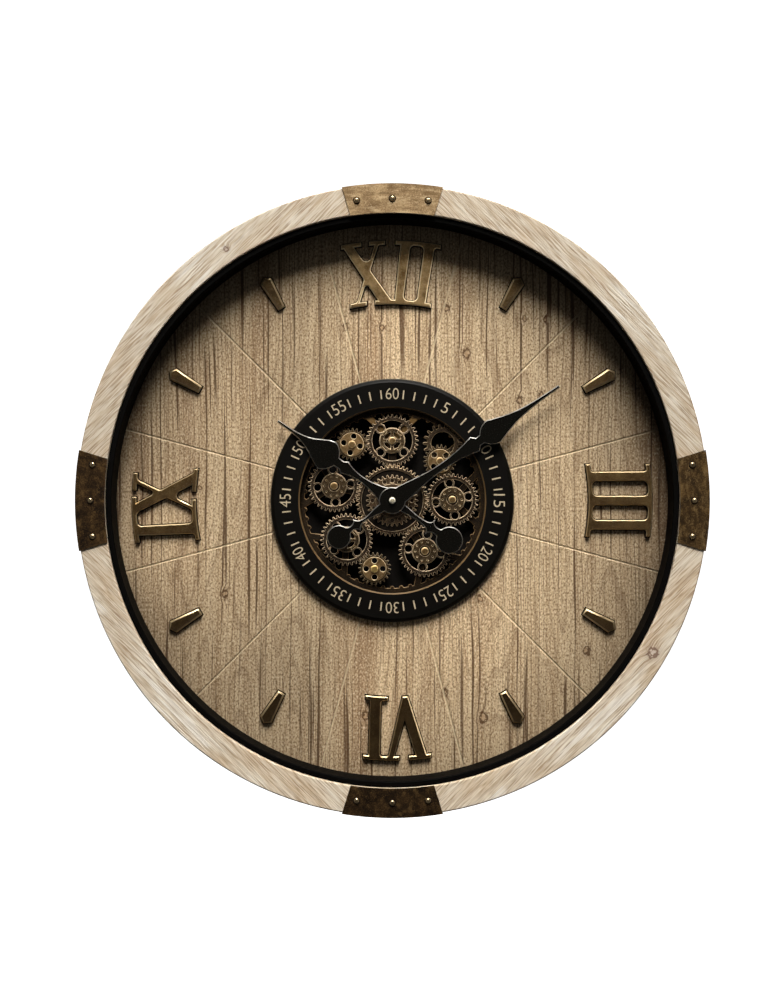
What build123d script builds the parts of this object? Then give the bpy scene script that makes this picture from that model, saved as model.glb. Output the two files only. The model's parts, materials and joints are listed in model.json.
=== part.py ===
from build123d import *
import os
from math import acos, cos, pi, radians, sin, sqrt, tan

# A round wooden wall clock with an open train of turning wheels in the middle of its dial.
# Lengths are millimetres and angles are degrees. Heights (h) are counted from the wall towards
# the room. The origin is the keyhole of the hanger, on the wall; +Z is up and the dial faces -Y.

os.makedirs("parts", exist_ok=True)

# Clearances
FIT = 0.05
LOOSE_FIT = 0.3
END_PLAY = 0.25
GEAR_BACKLASH = 0.34
FINE_BACKLASH = 0.10

# Wooden rim, its metal straps and the case ring behind it
RIM_OUTER_R = 298.8
RIM_W = 26.6
RIM_T = 20.0
RIM_FRONT_H = 70.0
RIM_EDGE = 1.5
STRAP_T = 1.2
STRAP_INNER_HALF = 40.4
STRAP_FLARE = 17.3
RIVET_STEP = 6.8
RIVET_HEAD_R = 2.8
RIVET_HEAD_T = 2.2
RIVET_DOME = 2.1
RIVET_SHANK_R = 1.2
RIVET_LENGTH = 9.0
CASE_INSET = 2.0
CASE_LEDGE_W = 15.0

# Hanger plate, let into the back of the case ring
HANGER_W = 60.0
HANGER_H = 20.0
HANGER_T = 1.6
KEYHOLE_R = 4.5
KEYHOLE_SLOT_R = 2.2
KEYHOLE_RISE = 7.0
HEAD_POCKET_W = 26.0
HEAD_POCKET_H = 17.6
HEAD_POCKET_DEPTH = 9.0
SCREW_SPACING = 46.0
SCREW_HEAD_R = 3.2
SCREW_HEAD_T = 1.4
SCREW_SHANK_R = 1.5
SCREW_LENGTH = 14.0

# Dial board, inner hoop, numerals and hour markers
DIAL_BACK_H = 28.0
DIAL_T = 6.0
GROOVE_COUNT = 12
GROOVE_W = 1.2
GROOVE_DEPTH = 0.7
HOOP_T = 5.5
HOOP_DROP = 3.0
HOOP_EDGE = 1.2
NUMERAL_MARGIN = 15.4
NUMERAL_H = 61.5
NUMERAL_T = 4.5
SERIF_T = 4.1
SERIF_ROUND = 4.4
SERIF_TIP_ROUND = 2.4
NOTCH_RISE = 22.5
MARKER_MARGIN = 17.9
MARKER_LENGTH = 34.7
MARKER_GABLE = 4.5
MARKER_INNER_W = 7.2
MARKER_OUTER_W = 12.5
MARKER_T = 4.5
MARKER_EDGE = 1.5

# Chapter ring and gear well
CHAPTER_OUTER_R = 117.5
CHAPTER_INNER_R = 89.2
CHAPTER_T = 5.8
CHAPTER_BEVEL = 3.2
CHAPTER_INNER_EDGE = 0.8
CHAPTER_SKIRT_W = 5.0
WELL_R = 95.0
WELL_LEDGE_W = 3.0
WELL_SHEET = 1.2
WELL_BACK_H = 18.8
LEDGE_RISE = 4.0
WELL_FLANGE_W = 15.0

# Back wheel, which carries the studs
BACK_WHEEL_T = 2.5
BACK_RING_INNER_R = 85.0
BACK_HUB_R = 9.5
BACK_HUB_RISE = 2.2
INNER_TOOTH_R = 2.1
INNER_TOOTH_COUNT = 60
ARM_W = 8.0
FORK_ANGLE = 17.0
FORK_W = 9.0
BOSS_R = 6.5

# Wheels of the open train
MODULE = 1.35
PRESSURE_ANGLE = 20.0
ADDENDUM = 0.82
DEDENDUM = 1.12
WHEEL_T = 3.5
CENTRE_TEETH = 50
SATELLITE_TEETH = 36
SMALL_TEETH = 22
CENTRE_PHASE = 0.0
SATELLITE_ANGLES = {"top": 90.0, "right": 1.0, "lower_right": -57.1, "lower_left": 220.5, "left": 165.9}
SMALL_WHEELS = {
    "upper_left": ("top", 185.4),
    "upper_right": ("right", 107.8),
    "bottom": ("lower_left", -46.4),
}
SATELLITE_EYES = {"top": 45.0, "right": 10.0, "lower_right": -8.0, "lower_left": 40.0, "left": 5.0}
SMALL_HOLES = {"upper_left": -12.0, "upper_right": 42.0, "bottom": 0.0}
SATELLITE_RIM_R = 19.4
SATELLITE_HUB_R = 12.6
SATELLITE_HOLE_R = 3.5
SATELLITE_EYE_R = 5.0
HUB_PLATE_T = 1.2
HUB_PLATE_R = 11.9
HUB_PLATE_BORE_R = 5.2
HUB_DOT_R = 0.8
HUB_DOT_CIRCLE_R = 9.3
HUB_DOT_COUNT = 10
CROSS_RING_R = 8.3
CROSS_BOSS_R = 4.6
CROSS_ARM_W = 3.2
CROSS_SLOT_L = 5.2
CROSS_SLOT_W = 1.1
CROSS_HUBS = ("top", "lower_left")
SMALL_FACE_R = 11.6
SMALL_FACE_T = 0.8
SMALL_HOLE_R = 2.7
SMALL_HOLE_CIRCLE_R = 8.0
CENTRE_RIM_R = 29.6
CENTRE_GROOVE_DEPTH = 2.4
TOP_WHEEL_TEETH = 32
TOP_WHEEL_MODULE = 1.5
TOP_WHEEL_T = 2.2
TOP_HOLE_R = 1.9
TOP_HOLE_CIRCLE_R = 19.2
TOP_HOLE_COUNT = 16
TOP_STEP_R = 16.3
TOP_STEP_T = 0.8
STUD_R = 2.0
STUD_COLLAR_R = 4.6
STUD_COLLAR_H = 2.3
STUD_HEAD_R = 3.8
STUD_HEAD_T = 2.0
STUD_DOME = 1.6
COARSE_POSITION = (49.0, 55.4)
COARSE_TEETH = 18
COARSE_MODULE = 1.95
COARSE_BORE_R = 11.2
COARSE_T = 1.9

# Hands: lengths along the hand from its axis, and half widths across it
HAND_T = 1.8
HOUR_HAND_LIFT = 2.0
MINUTE_HAND_LIFT = 2.2
HAND_HUB_R = 12.8
MINUTE_HAND_ANGLE = 34.4
HOUR_HAND_ANGLE = 145.2
NUT_R = 3.3
NUT_T = 3.6
NUT_DOME = 2.2

# Quartz movement and its motion work
MOVEMENT_SIZE = 56.0
MOVEMENT_WALL = 1.5
MOVEMENT_BACK_H = 5.2
MOVEMENT_COVER_T = 1.4
CELL_R = 7.25
CELL_LENGTH = 50.5
CELL_CAP_R = 2.75
CELL_CAP_T = 1.6
BUSH_R = 4.2
BUSH_BORE_R = 3.05
BUSH_RISE = 18.3
BUSH_NUT_FLATS = 12.0
BUSH_NUT_T = 2.6
CLIP_R = 6.6
CLIP_T = 1.2
ARBOR_R = 2.0
ARBOR_TIP_R = 1.6
PIPE_BORE_R = 2.05
PIPE_R = 3.0
CANNON_TEETH = 15
SETTING_TEETH = 45
SETTING_PINION_TEETH = 15
HOUR_TEETH = 60
SETTING_DISTANCE = 12.0
SETTING_ANGLE = 55.0
MOTION_WHEEL_T = 1.4
MOTION_GAP = 0.8
SETTING_SHAFT_R = 1.2
KNOB_R = 6.5
KNOB_T = 2.4
KNOB_FLUTES = 18
COIL_R = 4.0
COIL_LENGTH = 26.0
COIL_CORE_R = 1.6
BOARD_T = 1.0
BOARD_W = 13.0
BOARD_L = 30.0

# Gear motor behind the small bottom wheel
MOTOR_R = 9.0
MOTOR_LENGTH = 7.5
MOTOR_PINION_TEETH = 15
OUTPUT_TEETH = 45
MOTOR_MODULE = 0.5
OUTPUT_SHAFT_R = 2.0
MOTOR_BOX_WALL = 1.5
MOTOR_BOX_BACK_H = 3.4
MOTOR_COVER_T = 1.4
MOTOR_BOX_MARGIN = 2.0

# Heights worked out from the sizes above
dial_front_h = DIAL_BACK_H + DIAL_T
rim_back_h = RIM_FRONT_H - RIM_T
strap_front_h = RIM_FRONT_H + STRAP_T
hoop_front_h = RIM_FRONT_H - HOOP_DROP
floor_front_h = WELL_BACK_H + WELL_SHEET
ledge_h = floor_front_h + LEDGE_RISE
back_wheel_front_h = ledge_h + BACK_WHEEL_T
wheel_back_h = back_wheel_front_h + STUD_COLLAR_H + END_PLAY
wheel_front_h = wheel_back_h + WHEEL_T
hub_front_h = wheel_front_h + HUB_PLATE_T
stud_head_h = hub_front_h + END_PLAY
top_wheel_front_h = wheel_front_h + TOP_WHEEL_T
flange_front_h = dial_front_h + WELL_SHEET
chapter_front_h = flange_front_h + CHAPTER_T
hour_hand_h = chapter_front_h + HOUR_HAND_LIFT
minute_hand_h = hour_hand_h + HAND_T + MINUTE_HAND_LIFT
minute_hand_front_h = minute_hand_h + HAND_T

# Radii and distances worked out from the sizes above
rim_inner_r = RIM_OUTER_R - RIM_W
rivet_circle_r = RIM_OUTER_R - RIM_W / 2
strap_outer_r = RIM_OUTER_R + FIT + STRAP_T
case_outer_r = RIM_OUTER_R - CASE_INSET
case_bore_r = rim_inner_r + FIT
case_ledge_r = rim_inner_r - CASE_LEDGE_W
hanger_r = (case_outer_r + case_ledge_r) / 2
hoop_outer_r = rim_inner_r - LOOSE_FIT
hoop_inner_r = hoop_outer_r - HOOP_T
dial_r = case_bore_r - LOOSE_FIT
numeral_outer_r = hoop_inner_r - NUMERAL_MARGIN
numeral_inner_r = numeral_outer_r - NUMERAL_H
notch_r = numeral_inner_r + NOTCH_RISE
marker_peak_r = hoop_inner_r - MARKER_MARGIN
marker_shoulder_r = marker_peak_r - MARKER_GABLE
marker_inner_r = marker_peak_r - MARKER_LENGTH
well_outer_r = WELL_R + WELL_SHEET
well_floor_r = WELL_R - WELL_LEDGE_W
satellite_distance = MODULE * (CENTRE_TEETH + SATELLITE_TEETH) / 2
small_distance = MODULE * (SATELLITE_TEETH + SMALL_TEETH) / 2
satellite_eye_circle_r = (SATELLITE_RIM_R + SATELLITE_HUB_R) / 2
stud_bore_r = STUD_R + FIT
centre_bore_r = BUSH_R + FIT
cannon_module = 2 * SETTING_DISTANCE / (CANNON_TEETH + SETTING_TEETH)
hour_module = 2 * SETTING_DISTANCE / (SETTING_PINION_TEETH + HOUR_TEETH)
motor_distance = MOTOR_MODULE * (MOTOR_PINION_TEETH + OUTPUT_TEETH) / 2


def turned(height, angle):
    """Plane parallel to the wall, centred on the axis of the hands and turned anticlockwise."""
    sideways = (cos(radians(angle)), 0, sin(radians(angle)))
    return Plane(origin=(0, -height, -hanger_r), x_dir=sideways, z_dir=(0, -1, 0))


def at(height):
    """The same plane with its y axis upright."""
    return turned(height, 0)


def clock_plane(height, hour):
    """The same plane with its y axis pointing at an hour."""
    return turned(height, -30 * hour)


def polar(radius, angle):
    """Point at an angle counted anticlockwise from three o'clock."""
    return (radius * cos(radians(angle)), radius * sin(radians(angle)))


def beside(centre, distance, angle):
    """Point at a distance and angle from another point."""
    step = polar(distance, angle)
    return (centre[0] + step[0], centre[1] + step[1])


def gear_points(teeth, module, phase, backlash):
    """Outline of an involute wheel with a tooth centred on the phase angle."""
    pitch_r = module * teeth / 2
    base_r = pitch_r * cos(radians(PRESSURE_ANGLE))
    radii = (pitch_r - DEDENDUM * module, pitch_r, pitch_r + ADDENDUM * module)
    pressure = radians(PRESSURE_ANGLE)
    pitch_half = pi / (2 * teeth) - backlash / (4 * pitch_r)

    def half_angle(radius):
        roll = acos(base_r / max(radius, base_r))
        return pitch_half + tan(pressure) - pressure - tan(roll) + roll

    points = []
    for tooth in range(teeth):
        middle = radians(phase) + 2 * pi * tooth / teeth
        rising = [(radius, middle - half_angle(radius)) for radius in radii]
        falling = [(radius, middle + half_angle(radius)) for radius in reversed(radii)]
        points += [(radius * cos(angle), radius * sin(angle)) for radius, angle in rising + falling]
    return points


def meshed_phase(phase, teeth, angle, next_teeth):
    """Phase of a wheel that meshes with another one at an angle from its centre."""
    offset = (angle - phase) * teeth / 360
    return angle + 180 - (0.5 - offset) * 360 / next_teeth


def on_arc(across, radius):
    """Point at a distance across the twelve o'clock line, on a circle about the axis."""
    return (across, sqrt(radius * radius - across * across))


def arc_band(left, right, inner_r, outer_r):
    """Strip between two circles about the axis, used for the serifs."""
    middle = (left + right) / 2
    with BuildSketch(Plane.XY) as band:
        with BuildLine():
            outer = ThreePointArc(on_arc(left, outer_r), on_arc(middle, outer_r), on_arc(right, outer_r))
            side = Line(outer @ 1, on_arc(right, inner_r))
            inner = ThreePointArc(side @ 1, on_arc(middle, inner_r), on_arc(left, inner_r))
            Line(inner @ 1, outer @ 0)
        make_face()
    return band.sketch


def inner_corners(face, radius):
    """Corners that turn into a face, between sides long enough to be rounded with a radius."""
    corners = []
    for vertex in face.vertices():
        sides = [edge.length for edge in face.edges() if vertex in edge.vertices()]
        around = [beside((vertex.X, vertex.Y), radius / 8, 10 * step + 5) for step in range(36)]
        opening = sum(not face.is_inside((x, y, 0)) for x, y in around) * 10
        if 45 < opening < 160 and min(sides) > 2.4 * radius / tan(radians(opening / 2)):
            corners.append(vertex)
    return corners


def front_edges(builder):
    """Edges of the face nearest to the room."""
    return builder.faces().sort_by(Axis.Y)[0].edges()


def keep(builder, name):
    """Label a finished piece and write its file."""
    builder.part.label = name
    export_step(builder.part, f"parts/{name}.step")


# Rim: four segments that meet under the straps
QUARTERS = {"upper_right": 0, "lower_right": 1, "lower_left": 2, "upper_left": 3}
rivet_steps = (-RIVET_STEP, 0, RIVET_STEP)
rivet_points = [polar(rivet_circle_r, 90 * quarter + step) for quarter in range(4) for step in rivet_steps]
for place, quarter in QUARTERS.items():
    with BuildPart() as rim_segment:
        with BuildSketch(clock_plane(rim_back_h, 3 * quarter)):
            Circle(RIM_OUTER_R)
            Circle(rim_inner_r, mode=Mode.SUBTRACT)
            Rectangle(strap_outer_r, strap_outer_r, align=(Align.MIN, Align.MIN), mode=Mode.INTERSECT)
        extrude(amount=RIM_T)
        fillet(front_edges(rim_segment).filter_by(GeomType.CIRCLE), RIM_EDGE)
        with BuildSketch(at(RIM_FRONT_H)):
            with Locations(*rivet_points):
                Circle(RIVET_SHANK_R + FIT)
        extrude(amount=-RIVET_LENGTH, mode=Mode.SUBTRACT)
    keep(rim_segment, f"rim_segment_{place}")

# Straps over the joints of the rim, folded down its outer side
STRAPS = {"top": 0, "right": 3, "bottom": 6, "left": 9}
strap_bottom = rim_inner_r - RIM_T
strap_bottom_half = STRAP_INNER_HALF - RIM_T * tan(radians(STRAP_FLARE))
strap_top_half = STRAP_INNER_HALF + (strap_outer_r - rim_inner_r) * tan(radians(STRAP_FLARE))
strap_outline = [
    (-strap_bottom_half, strap_bottom),
    (strap_bottom_half, strap_bottom),
    (strap_top_half, strap_outer_r),
    (-strap_top_half, strap_outer_r),
]
for place, hour in STRAPS.items():
    with BuildPart() as rim_strap:
        with BuildSketch(clock_plane(RIM_FRONT_H, hour)):
            Circle(strap_outer_r)
            Circle(rim_inner_r, mode=Mode.SUBTRACT)
            Polygon(*strap_outline, mode=Mode.INTERSECT)
            with Locations(*[polar(rivet_circle_r, 90 + step) for step in rivet_steps]):
                Circle(RIVET_SHANK_R + FIT, mode=Mode.SUBTRACT)
        extrude(amount=STRAP_T)
        with BuildSketch(clock_plane(rim_back_h, hour)):
            Circle(strap_outer_r)
            Circle(RIM_OUTER_R + FIT, mode=Mode.SUBTRACT)
            Polygon(*strap_outline, mode=Mode.INTERSECT)
        extrude(amount=RIM_T)
    keep(rim_strap, f"rim_strap_{place}")

with BuildPart() as strap_rivets:
    with BuildSketch(at(strap_front_h)):
        with Locations(*rivet_points):
            Circle(RIVET_HEAD_R)
    extrude(amount=RIVET_HEAD_T)
    fillet(strap_rivets.edges().group_by(Axis.Y)[0], RIVET_DOME)
    with BuildSketch(at(strap_front_h)):
        with Locations(*rivet_points):
            Circle(RIVET_SHANK_R)
    extrude(amount=-(RIVET_LENGTH - LOOSE_FIT))
keep(strap_rivets, "strap_rivets")

# Case ring: its back is the wall face, its ledge carries the dial board, its front carries the rim
screw_points = [(-SCREW_SPACING / 2, hanger_r), (SCREW_SPACING / 2, hanger_r)]
with BuildPart() as case_ring:
    with BuildSketch(at(0)):
        Circle(case_outer_r)
        Circle(case_ledge_r, mode=Mode.SUBTRACT)
    extrude(amount=DIAL_BACK_H)
    with BuildSketch(at(DIAL_BACK_H)):
        Circle(case_outer_r)
        Circle(case_bore_r, mode=Mode.SUBTRACT)
    extrude(amount=rim_back_h - DIAL_BACK_H)
    with BuildSketch(at(0)):
        with Locations((0, hanger_r)):
            Rectangle(HANGER_W + 2 * LOOSE_FIT, HANGER_H + 2 * LOOSE_FIT)
    extrude(amount=HANGER_T, mode=Mode.SUBTRACT)
    with BuildSketch(at(HANGER_T)):
        with Locations((0, hanger_r)):
            Rectangle(HEAD_POCKET_W, HEAD_POCKET_H)
    extrude(amount=HEAD_POCKET_DEPTH, mode=Mode.SUBTRACT)
    with BuildSketch(at(HANGER_T)):
        with Locations(*screw_points):
            Circle(SCREW_SHANK_R + FIT)
    extrude(amount=SCREW_LENGTH, mode=Mode.SUBTRACT)
keep(case_ring, "case_ring")

with BuildPart() as hanger_plate:
    with BuildSketch(at(0)):
        with Locations((0, hanger_r)):
            Rectangle(HANGER_W, HANGER_H)
            Circle(KEYHOLE_R, mode=Mode.SUBTRACT)
        with Locations((0, hanger_r + KEYHOLE_RISE / 2)):
            SlotCenterToCenter(KEYHOLE_RISE, 2 * KEYHOLE_SLOT_R, rotation=90, mode=Mode.SUBTRACT)
        with Locations(*screw_points):
            Circle(SCREW_SHANK_R + FIT, mode=Mode.SUBTRACT)
    extrude(amount=HANGER_T)
    with BuildSketch(at(0)):
        with Locations(*screw_points):
            Circle(SCREW_HEAD_R + FIT)
    extrude(amount=SCREW_HEAD_T, mode=Mode.SUBTRACT)
keep(hanger_plate, "hanger_plate")

with BuildPart() as hanger_screws:
    with BuildSketch(at(0)):
        with Locations(*screw_points):
            Circle(SCREW_HEAD_R)
    extrude(amount=SCREW_HEAD_T)
    with BuildSketch(at(SCREW_HEAD_T)):
        with Locations(*screw_points):
            Circle(SCREW_SHANK_R)
    extrude(amount=SCREW_LENGTH - LOOSE_FIT)
keep(hanger_screws, "hanger_screws")

# Dial board with its radial grooves, and the black hoop that holds it down
groove_length = hoop_inner_r - CHAPTER_OUTER_R
with BuildPart() as dial_board:
    with BuildSketch(at(DIAL_BACK_H)):
        Circle(dial_r)
        Circle(well_outer_r + LOOSE_FIT, mode=Mode.SUBTRACT)
    extrude(amount=DIAL_T)
    with BuildSketch(at(dial_front_h)):
        with PolarLocations(CHAPTER_OUTER_R + groove_length / 2, GROOVE_COUNT, 180 / GROOVE_COUNT):
            Rectangle(groove_length, GROOVE_W)
    extrude(amount=-GROOVE_DEPTH, mode=Mode.SUBTRACT)
keep(dial_board, "dial_board")

with BuildPart() as inner_hoop:
    with BuildSketch(at(dial_front_h)):
        Circle(hoop_outer_r)
        Circle(hoop_inner_r, mode=Mode.SUBTRACT)
    extrude(amount=hoop_front_h - dial_front_h)
    fillet(front_edges(inner_hoop), HOOP_EDGE)
keep(inner_hoop, "inner_hoop")

# Numerals: strokes as points (across, radius), and serifs as strips at the two ends
stroke_top = numeral_outer_r - SERIF_T / 2
stroke_foot = numeral_inner_r + SERIF_T / 2


def straight_stroke(top_left, top_right, foot_left, foot_right):
    """Four-sided stroke from the outer serif to the inner one."""
    return [
        on_arc(top_left, stroke_top), on_arc(top_right, stroke_top),
        on_arc(foot_right, stroke_foot), on_arc(foot_left, stroke_foot),
    ]


NUMERALS = {
    "twelve": {
        "hour": 0,
        "strokes": [
            straight_stroke(-48.0, -38.4, -12.4, 0.6),
            straight_stroke(-16.6, -12.6, -34.8, -32.0),
            straight_stroke(8.0, 18.0, 2.2, 10.2),
            straight_stroke(31.0, 41.4, 23.4, 31.8),
        ],
        "outer_serifs": [(-49.4, -29.8), (-22.5, -7.0), (3.3, 46.8)],
        "inner_serifs": [(-40.5, -24.7), (-16.6, 37.2)],
    },
    "three": {
        "hour": 3,
        "strokes": [
            straight_stroke(-28.2, -18.8, -27.8, -18.6),
            straight_stroke(-4.7, 4.7, -4.6, 4.6),
            straight_stroke(18.8, 28.2, 18.6, 27.8),
        ],
        "outer_serifs": [(-35.0, 35.0)],
        "inner_serifs": [(-35.0, 35.0)],
    },
    "six": {
        "hour": 6,
        "strokes": [
            [
                on_arc(-33.8, stroke_top), on_arc(-23.1, stroke_top), (-12.0, notch_r),
                on_arc(-1.4, stroke_top), on_arc(4.3, stroke_top),
                on_arc(-9.6, numeral_inner_r), on_arc(-15.2, numeral_inner_r),
            ],
            straight_stroke(11.9, 23.1, 10.6, 21.7),
        ],
        "outer_serifs": [(-37.4, -15.8), (-7.0, 28.4)],
        "inner_serifs": [(4.1, 25.9)],
    },
    "nine": {
        "hour": 9,
        "strokes": [
            straight_stroke(-33.9, -24.8, -32.0, -21.6),
            straight_stroke(-12.7, -3.3, 16.0, 28.0),
            straight_stroke(17.0, 21.2, -9.6, -5.6),
        ],
        "outer_serifs": [(-40.6, 3.4), (9.7, 26.5)],
        "inner_serifs": [(-37.7, 1.1), (8.5, 30.8)],
    },
}
for place, numeral in NUMERALS.items():
    with BuildSketch(Plane.XY) as numeral_outline:
        for stroke in numeral["strokes"]:
            Polygon(*stroke)
        for left, right in numeral["outer_serifs"]:
            add(arc_band(left, right, numeral_outer_r - SERIF_T, numeral_outer_r))
        for left, right in numeral["inner_serifs"]:
            add(arc_band(left, right, numeral_inner_r, numeral_inner_r + SERIF_T))
        for corner_r in (SERIF_ROUND, SERIF_TIP_ROUND):
            for outline_face in numeral_outline.faces():
                fillet(inner_corners(outline_face, corner_r), corner_r)
    with BuildPart() as raised_numeral:
        with BuildSketch(clock_plane(dial_front_h, numeral["hour"])):
            add(numeral_outline.sketch)
        extrude(amount=NUMERAL_T)
    keep(raised_numeral, f"numeral_{place}")

# Hour markers between the numerals
marker_outline = [
    (-MARKER_INNER_W / 2, marker_inner_r),
    (MARKER_INNER_W / 2, marker_inner_r),
    (MARKER_OUTER_W / 2, marker_shoulder_r),
    (0, marker_peak_r),
    (-MARKER_OUTER_W / 2, marker_shoulder_r),
]
with BuildPart() as hour_markers:
    for hour in (1, 2, 4, 5, 7, 8, 10, 11):
        with BuildSketch(clock_plane(dial_front_h, hour)):
            Polygon(*marker_outline)
        extrude(amount=MARKER_T)
    chamfer(hour_markers.edges().group_by(Axis.Y)[0], MARKER_EDGE)
keep(hour_markers, "hour_markers")

# Gear well: a black dish that hangs in the dial by its flange
motor_carrier, motor_angle = SMALL_WHEELS["bottom"]
carrier_centre = polar(satellite_distance, SATELLITE_ANGLES[motor_carrier])
motor_axis = beside(carrier_centre, small_distance, motor_angle)
with BuildPart() as gear_well:
    with BuildSketch(at(WELL_BACK_H)):
        Circle(well_floor_r + WELL_SHEET)
    extrude(amount=ledge_h - WELL_BACK_H)
    with BuildSketch(at(ledge_h - WELL_SHEET)):
        Circle(well_outer_r)
    extrude(amount=flange_front_h - ledge_h + WELL_SHEET)
    with BuildSketch(at(dial_front_h)):
        Circle(well_outer_r + WELL_FLANGE_W)
    extrude(amount=WELL_SHEET)
    with BuildSketch(at(ledge_h)):
        Circle(WELL_R)
    extrude(amount=flange_front_h - ledge_h, mode=Mode.SUBTRACT)
    with BuildSketch(at(floor_front_h)):
        Circle(well_floor_r)
    extrude(amount=LEDGE_RISE, mode=Mode.SUBTRACT)
    with BuildSketch(at(WELL_BACK_H)):
        Circle(BUSH_R + LOOSE_FIT)
        with Locations(motor_axis):
            Circle(OUTPUT_SHAFT_R + LOOSE_FIT)
    extrude(amount=WELL_SHEET, mode=Mode.SUBTRACT)
keep(gear_well, "gear_well")

with BuildPart() as chapter_ring:
    with BuildSketch(at(flange_front_h)):
        Circle(CHAPTER_OUTER_R)
        Circle(CHAPTER_INNER_R, mode=Mode.SUBTRACT)
    extrude(amount=CHAPTER_T)
    with BuildSketch(at(dial_front_h)):
        Circle(CHAPTER_OUTER_R)
        Circle(CHAPTER_OUTER_R - CHAPTER_SKIRT_W, mode=Mode.SUBTRACT)
    extrude(amount=WELL_SHEET)
    chamfer(front_edges(chapter_ring).sort_by(SortBy.RADIUS)[-1], CHAPTER_BEVEL)
    chamfer(front_edges(chapter_ring).sort_by(SortBy.RADIUS)[0], CHAPTER_INNER_EDGE)
keep(chapter_ring, "chapter_ring")

# Places and phases of the wheels, each in mesh with the one before it
satellite_centres = {place: polar(satellite_distance, angle) for place, angle in SATELLITE_ANGLES.items()}
satellite_phases = {
    place: meshed_phase(CENTRE_PHASE, CENTRE_TEETH, angle, SATELLITE_TEETH)
    for place, angle in SATELLITE_ANGLES.items()
}
small_centres = {
    place: beside(satellite_centres[carrier], small_distance, angle)
    for place, (carrier, angle) in SMALL_WHEELS.items()
}
small_phases = {
    place: meshed_phase(satellite_phases[carrier], SATELLITE_TEETH, angle, SMALL_TEETH)
    for place, (carrier, angle) in SMALL_WHEELS.items()
}
stud_centres = list(satellite_centres.values()) + [small_centres["upper_left"], small_centres["upper_right"]]

# Back wheel: a ring with round inner teeth, a hub, and a forked arm behind each satellite
back_ring_outer_r = WELL_R - LOOSE_FIT
arm_end_r = BACK_RING_INNER_R + INNER_TOOTH_R
with BuildPart() as back_wheel:
    with BuildSketch(at(ledge_h)):
        Circle(back_ring_outer_r)
        Circle(BACK_RING_INNER_R, mode=Mode.SUBTRACT)
        with PolarLocations(BACK_RING_INNER_R, INNER_TOOTH_COUNT):
            Circle(INNER_TOOTH_R)
        Circle(BACK_HUB_R)
        for place, angle in SATELLITE_ANGLES.items():
            seat = satellite_centres[place]
            left = polar(arm_end_r, angle + FORK_ANGLE)
            right = polar(arm_end_r, angle - FORK_ANGLE)
            half = polar(FORK_W / 2, angle + 90)
            arm = polar(ARM_W / 2, angle + 90)
            with Locations(seat):
                Circle(BOSS_R)
            Polygon(
                (arm[0], arm[1]), (-arm[0], -arm[1]),
                (seat[0] - arm[0], seat[1] - arm[1]), (seat[0] + arm[0], seat[1] + arm[1]),
            )
            for end in (left, right):
                Polygon(
                    (seat[0] - arm[0], seat[1] - arm[1]), (end[0] - half[0], end[1] - half[1]),
                    (end[0] + half[0], end[1] + half[1]), (seat[0] + arm[0], seat[1] + arm[1]),
                )
        for place in ("upper_left", "upper_right"):
            seat = small_centres[place]
            reach = sqrt(seat[0] ** 2 + seat[1] ** 2)
            along = (seat[0] / reach, seat[1] / reach)
            tip = (along[0] * arm_end_r, along[1] * arm_end_r)
            across = (-along[1] * ARM_W / 2, along[0] * ARM_W / 2)
            with Locations(seat):
                Circle(BOSS_R)
            Polygon(
                (seat[0] - across[0], seat[1] - across[1]), (tip[0] - across[0], tip[1] - across[1]),
                (tip[0] + across[0], tip[1] + across[1]), (seat[0] + across[0], seat[1] + across[1]),
            )
        Circle(BUSH_R + FIT, mode=Mode.SUBTRACT)
    extrude(amount=BACK_WHEEL_T)
    with BuildSketch(at(back_wheel_front_h)):
        Circle(BACK_HUB_R)
        Circle(BUSH_R + FIT, mode=Mode.SUBTRACT)
    extrude(amount=BACK_HUB_RISE)
keep(back_wheel, "back_wheel")

with BuildPart() as coarse_wheel:
    with BuildSketch(at(back_wheel_front_h)):
        with Locations(COARSE_POSITION):
            Polygon(*gear_points(COARSE_TEETH, COARSE_MODULE, 0, GEAR_BACKLASH))
            Circle(COARSE_BORE_R, mode=Mode.SUBTRACT)
        with Locations(small_centres["upper_right"]):
            Circle(STUD_COLLAR_R + LOOSE_FIT, mode=Mode.SUBTRACT)
    extrude(amount=COARSE_T)
keep(coarse_wheel, "coarse_wheel")

# Studs: collar, running shank and domed head
with BuildPart() as wheel_studs:
    with BuildSketch(at(back_wheel_front_h)):
        with Locations(*stud_centres):
            Circle(STUD_COLLAR_R)
    extrude(amount=STUD_COLLAR_H)
    with BuildSketch(at(back_wheel_front_h)):
        with Locations(*stud_centres):
            Circle(STUD_R)
    extrude(amount=stud_head_h - back_wheel_front_h)
    with BuildSketch(at(stud_head_h)):
        with Locations(*stud_centres):
            Circle(STUD_HEAD_R)
    extrude(amount=STUD_HEAD_T)
    fillet(wheel_studs.edges().group_by(Axis.Y)[0], STUD_DOME)
keep(wheel_studs, "wheel_studs")

# Centre wheel with a ring groove in its rim, and the smaller toothed wheel fixed on it
with BuildPart() as centre_wheel:
    with BuildSketch(at(wheel_back_h)):
        Polygon(*gear_points(CENTRE_TEETH, MODULE, CENTRE_PHASE, GEAR_BACKLASH))
        Circle(centre_bore_r, mode=Mode.SUBTRACT)
    extrude(amount=WHEEL_T)
    with BuildSketch(at(wheel_front_h)):
        Circle(CENTRE_RIM_R)
        Circle(TOP_WHEEL_MODULE * TOP_WHEEL_TEETH / 2 - TOP_WHEEL_MODULE * DEDENDUM, mode=Mode.SUBTRACT)
    extrude(amount=-CENTRE_GROOVE_DEPTH, mode=Mode.SUBTRACT)
keep(centre_wheel, "centre_wheel")

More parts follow.
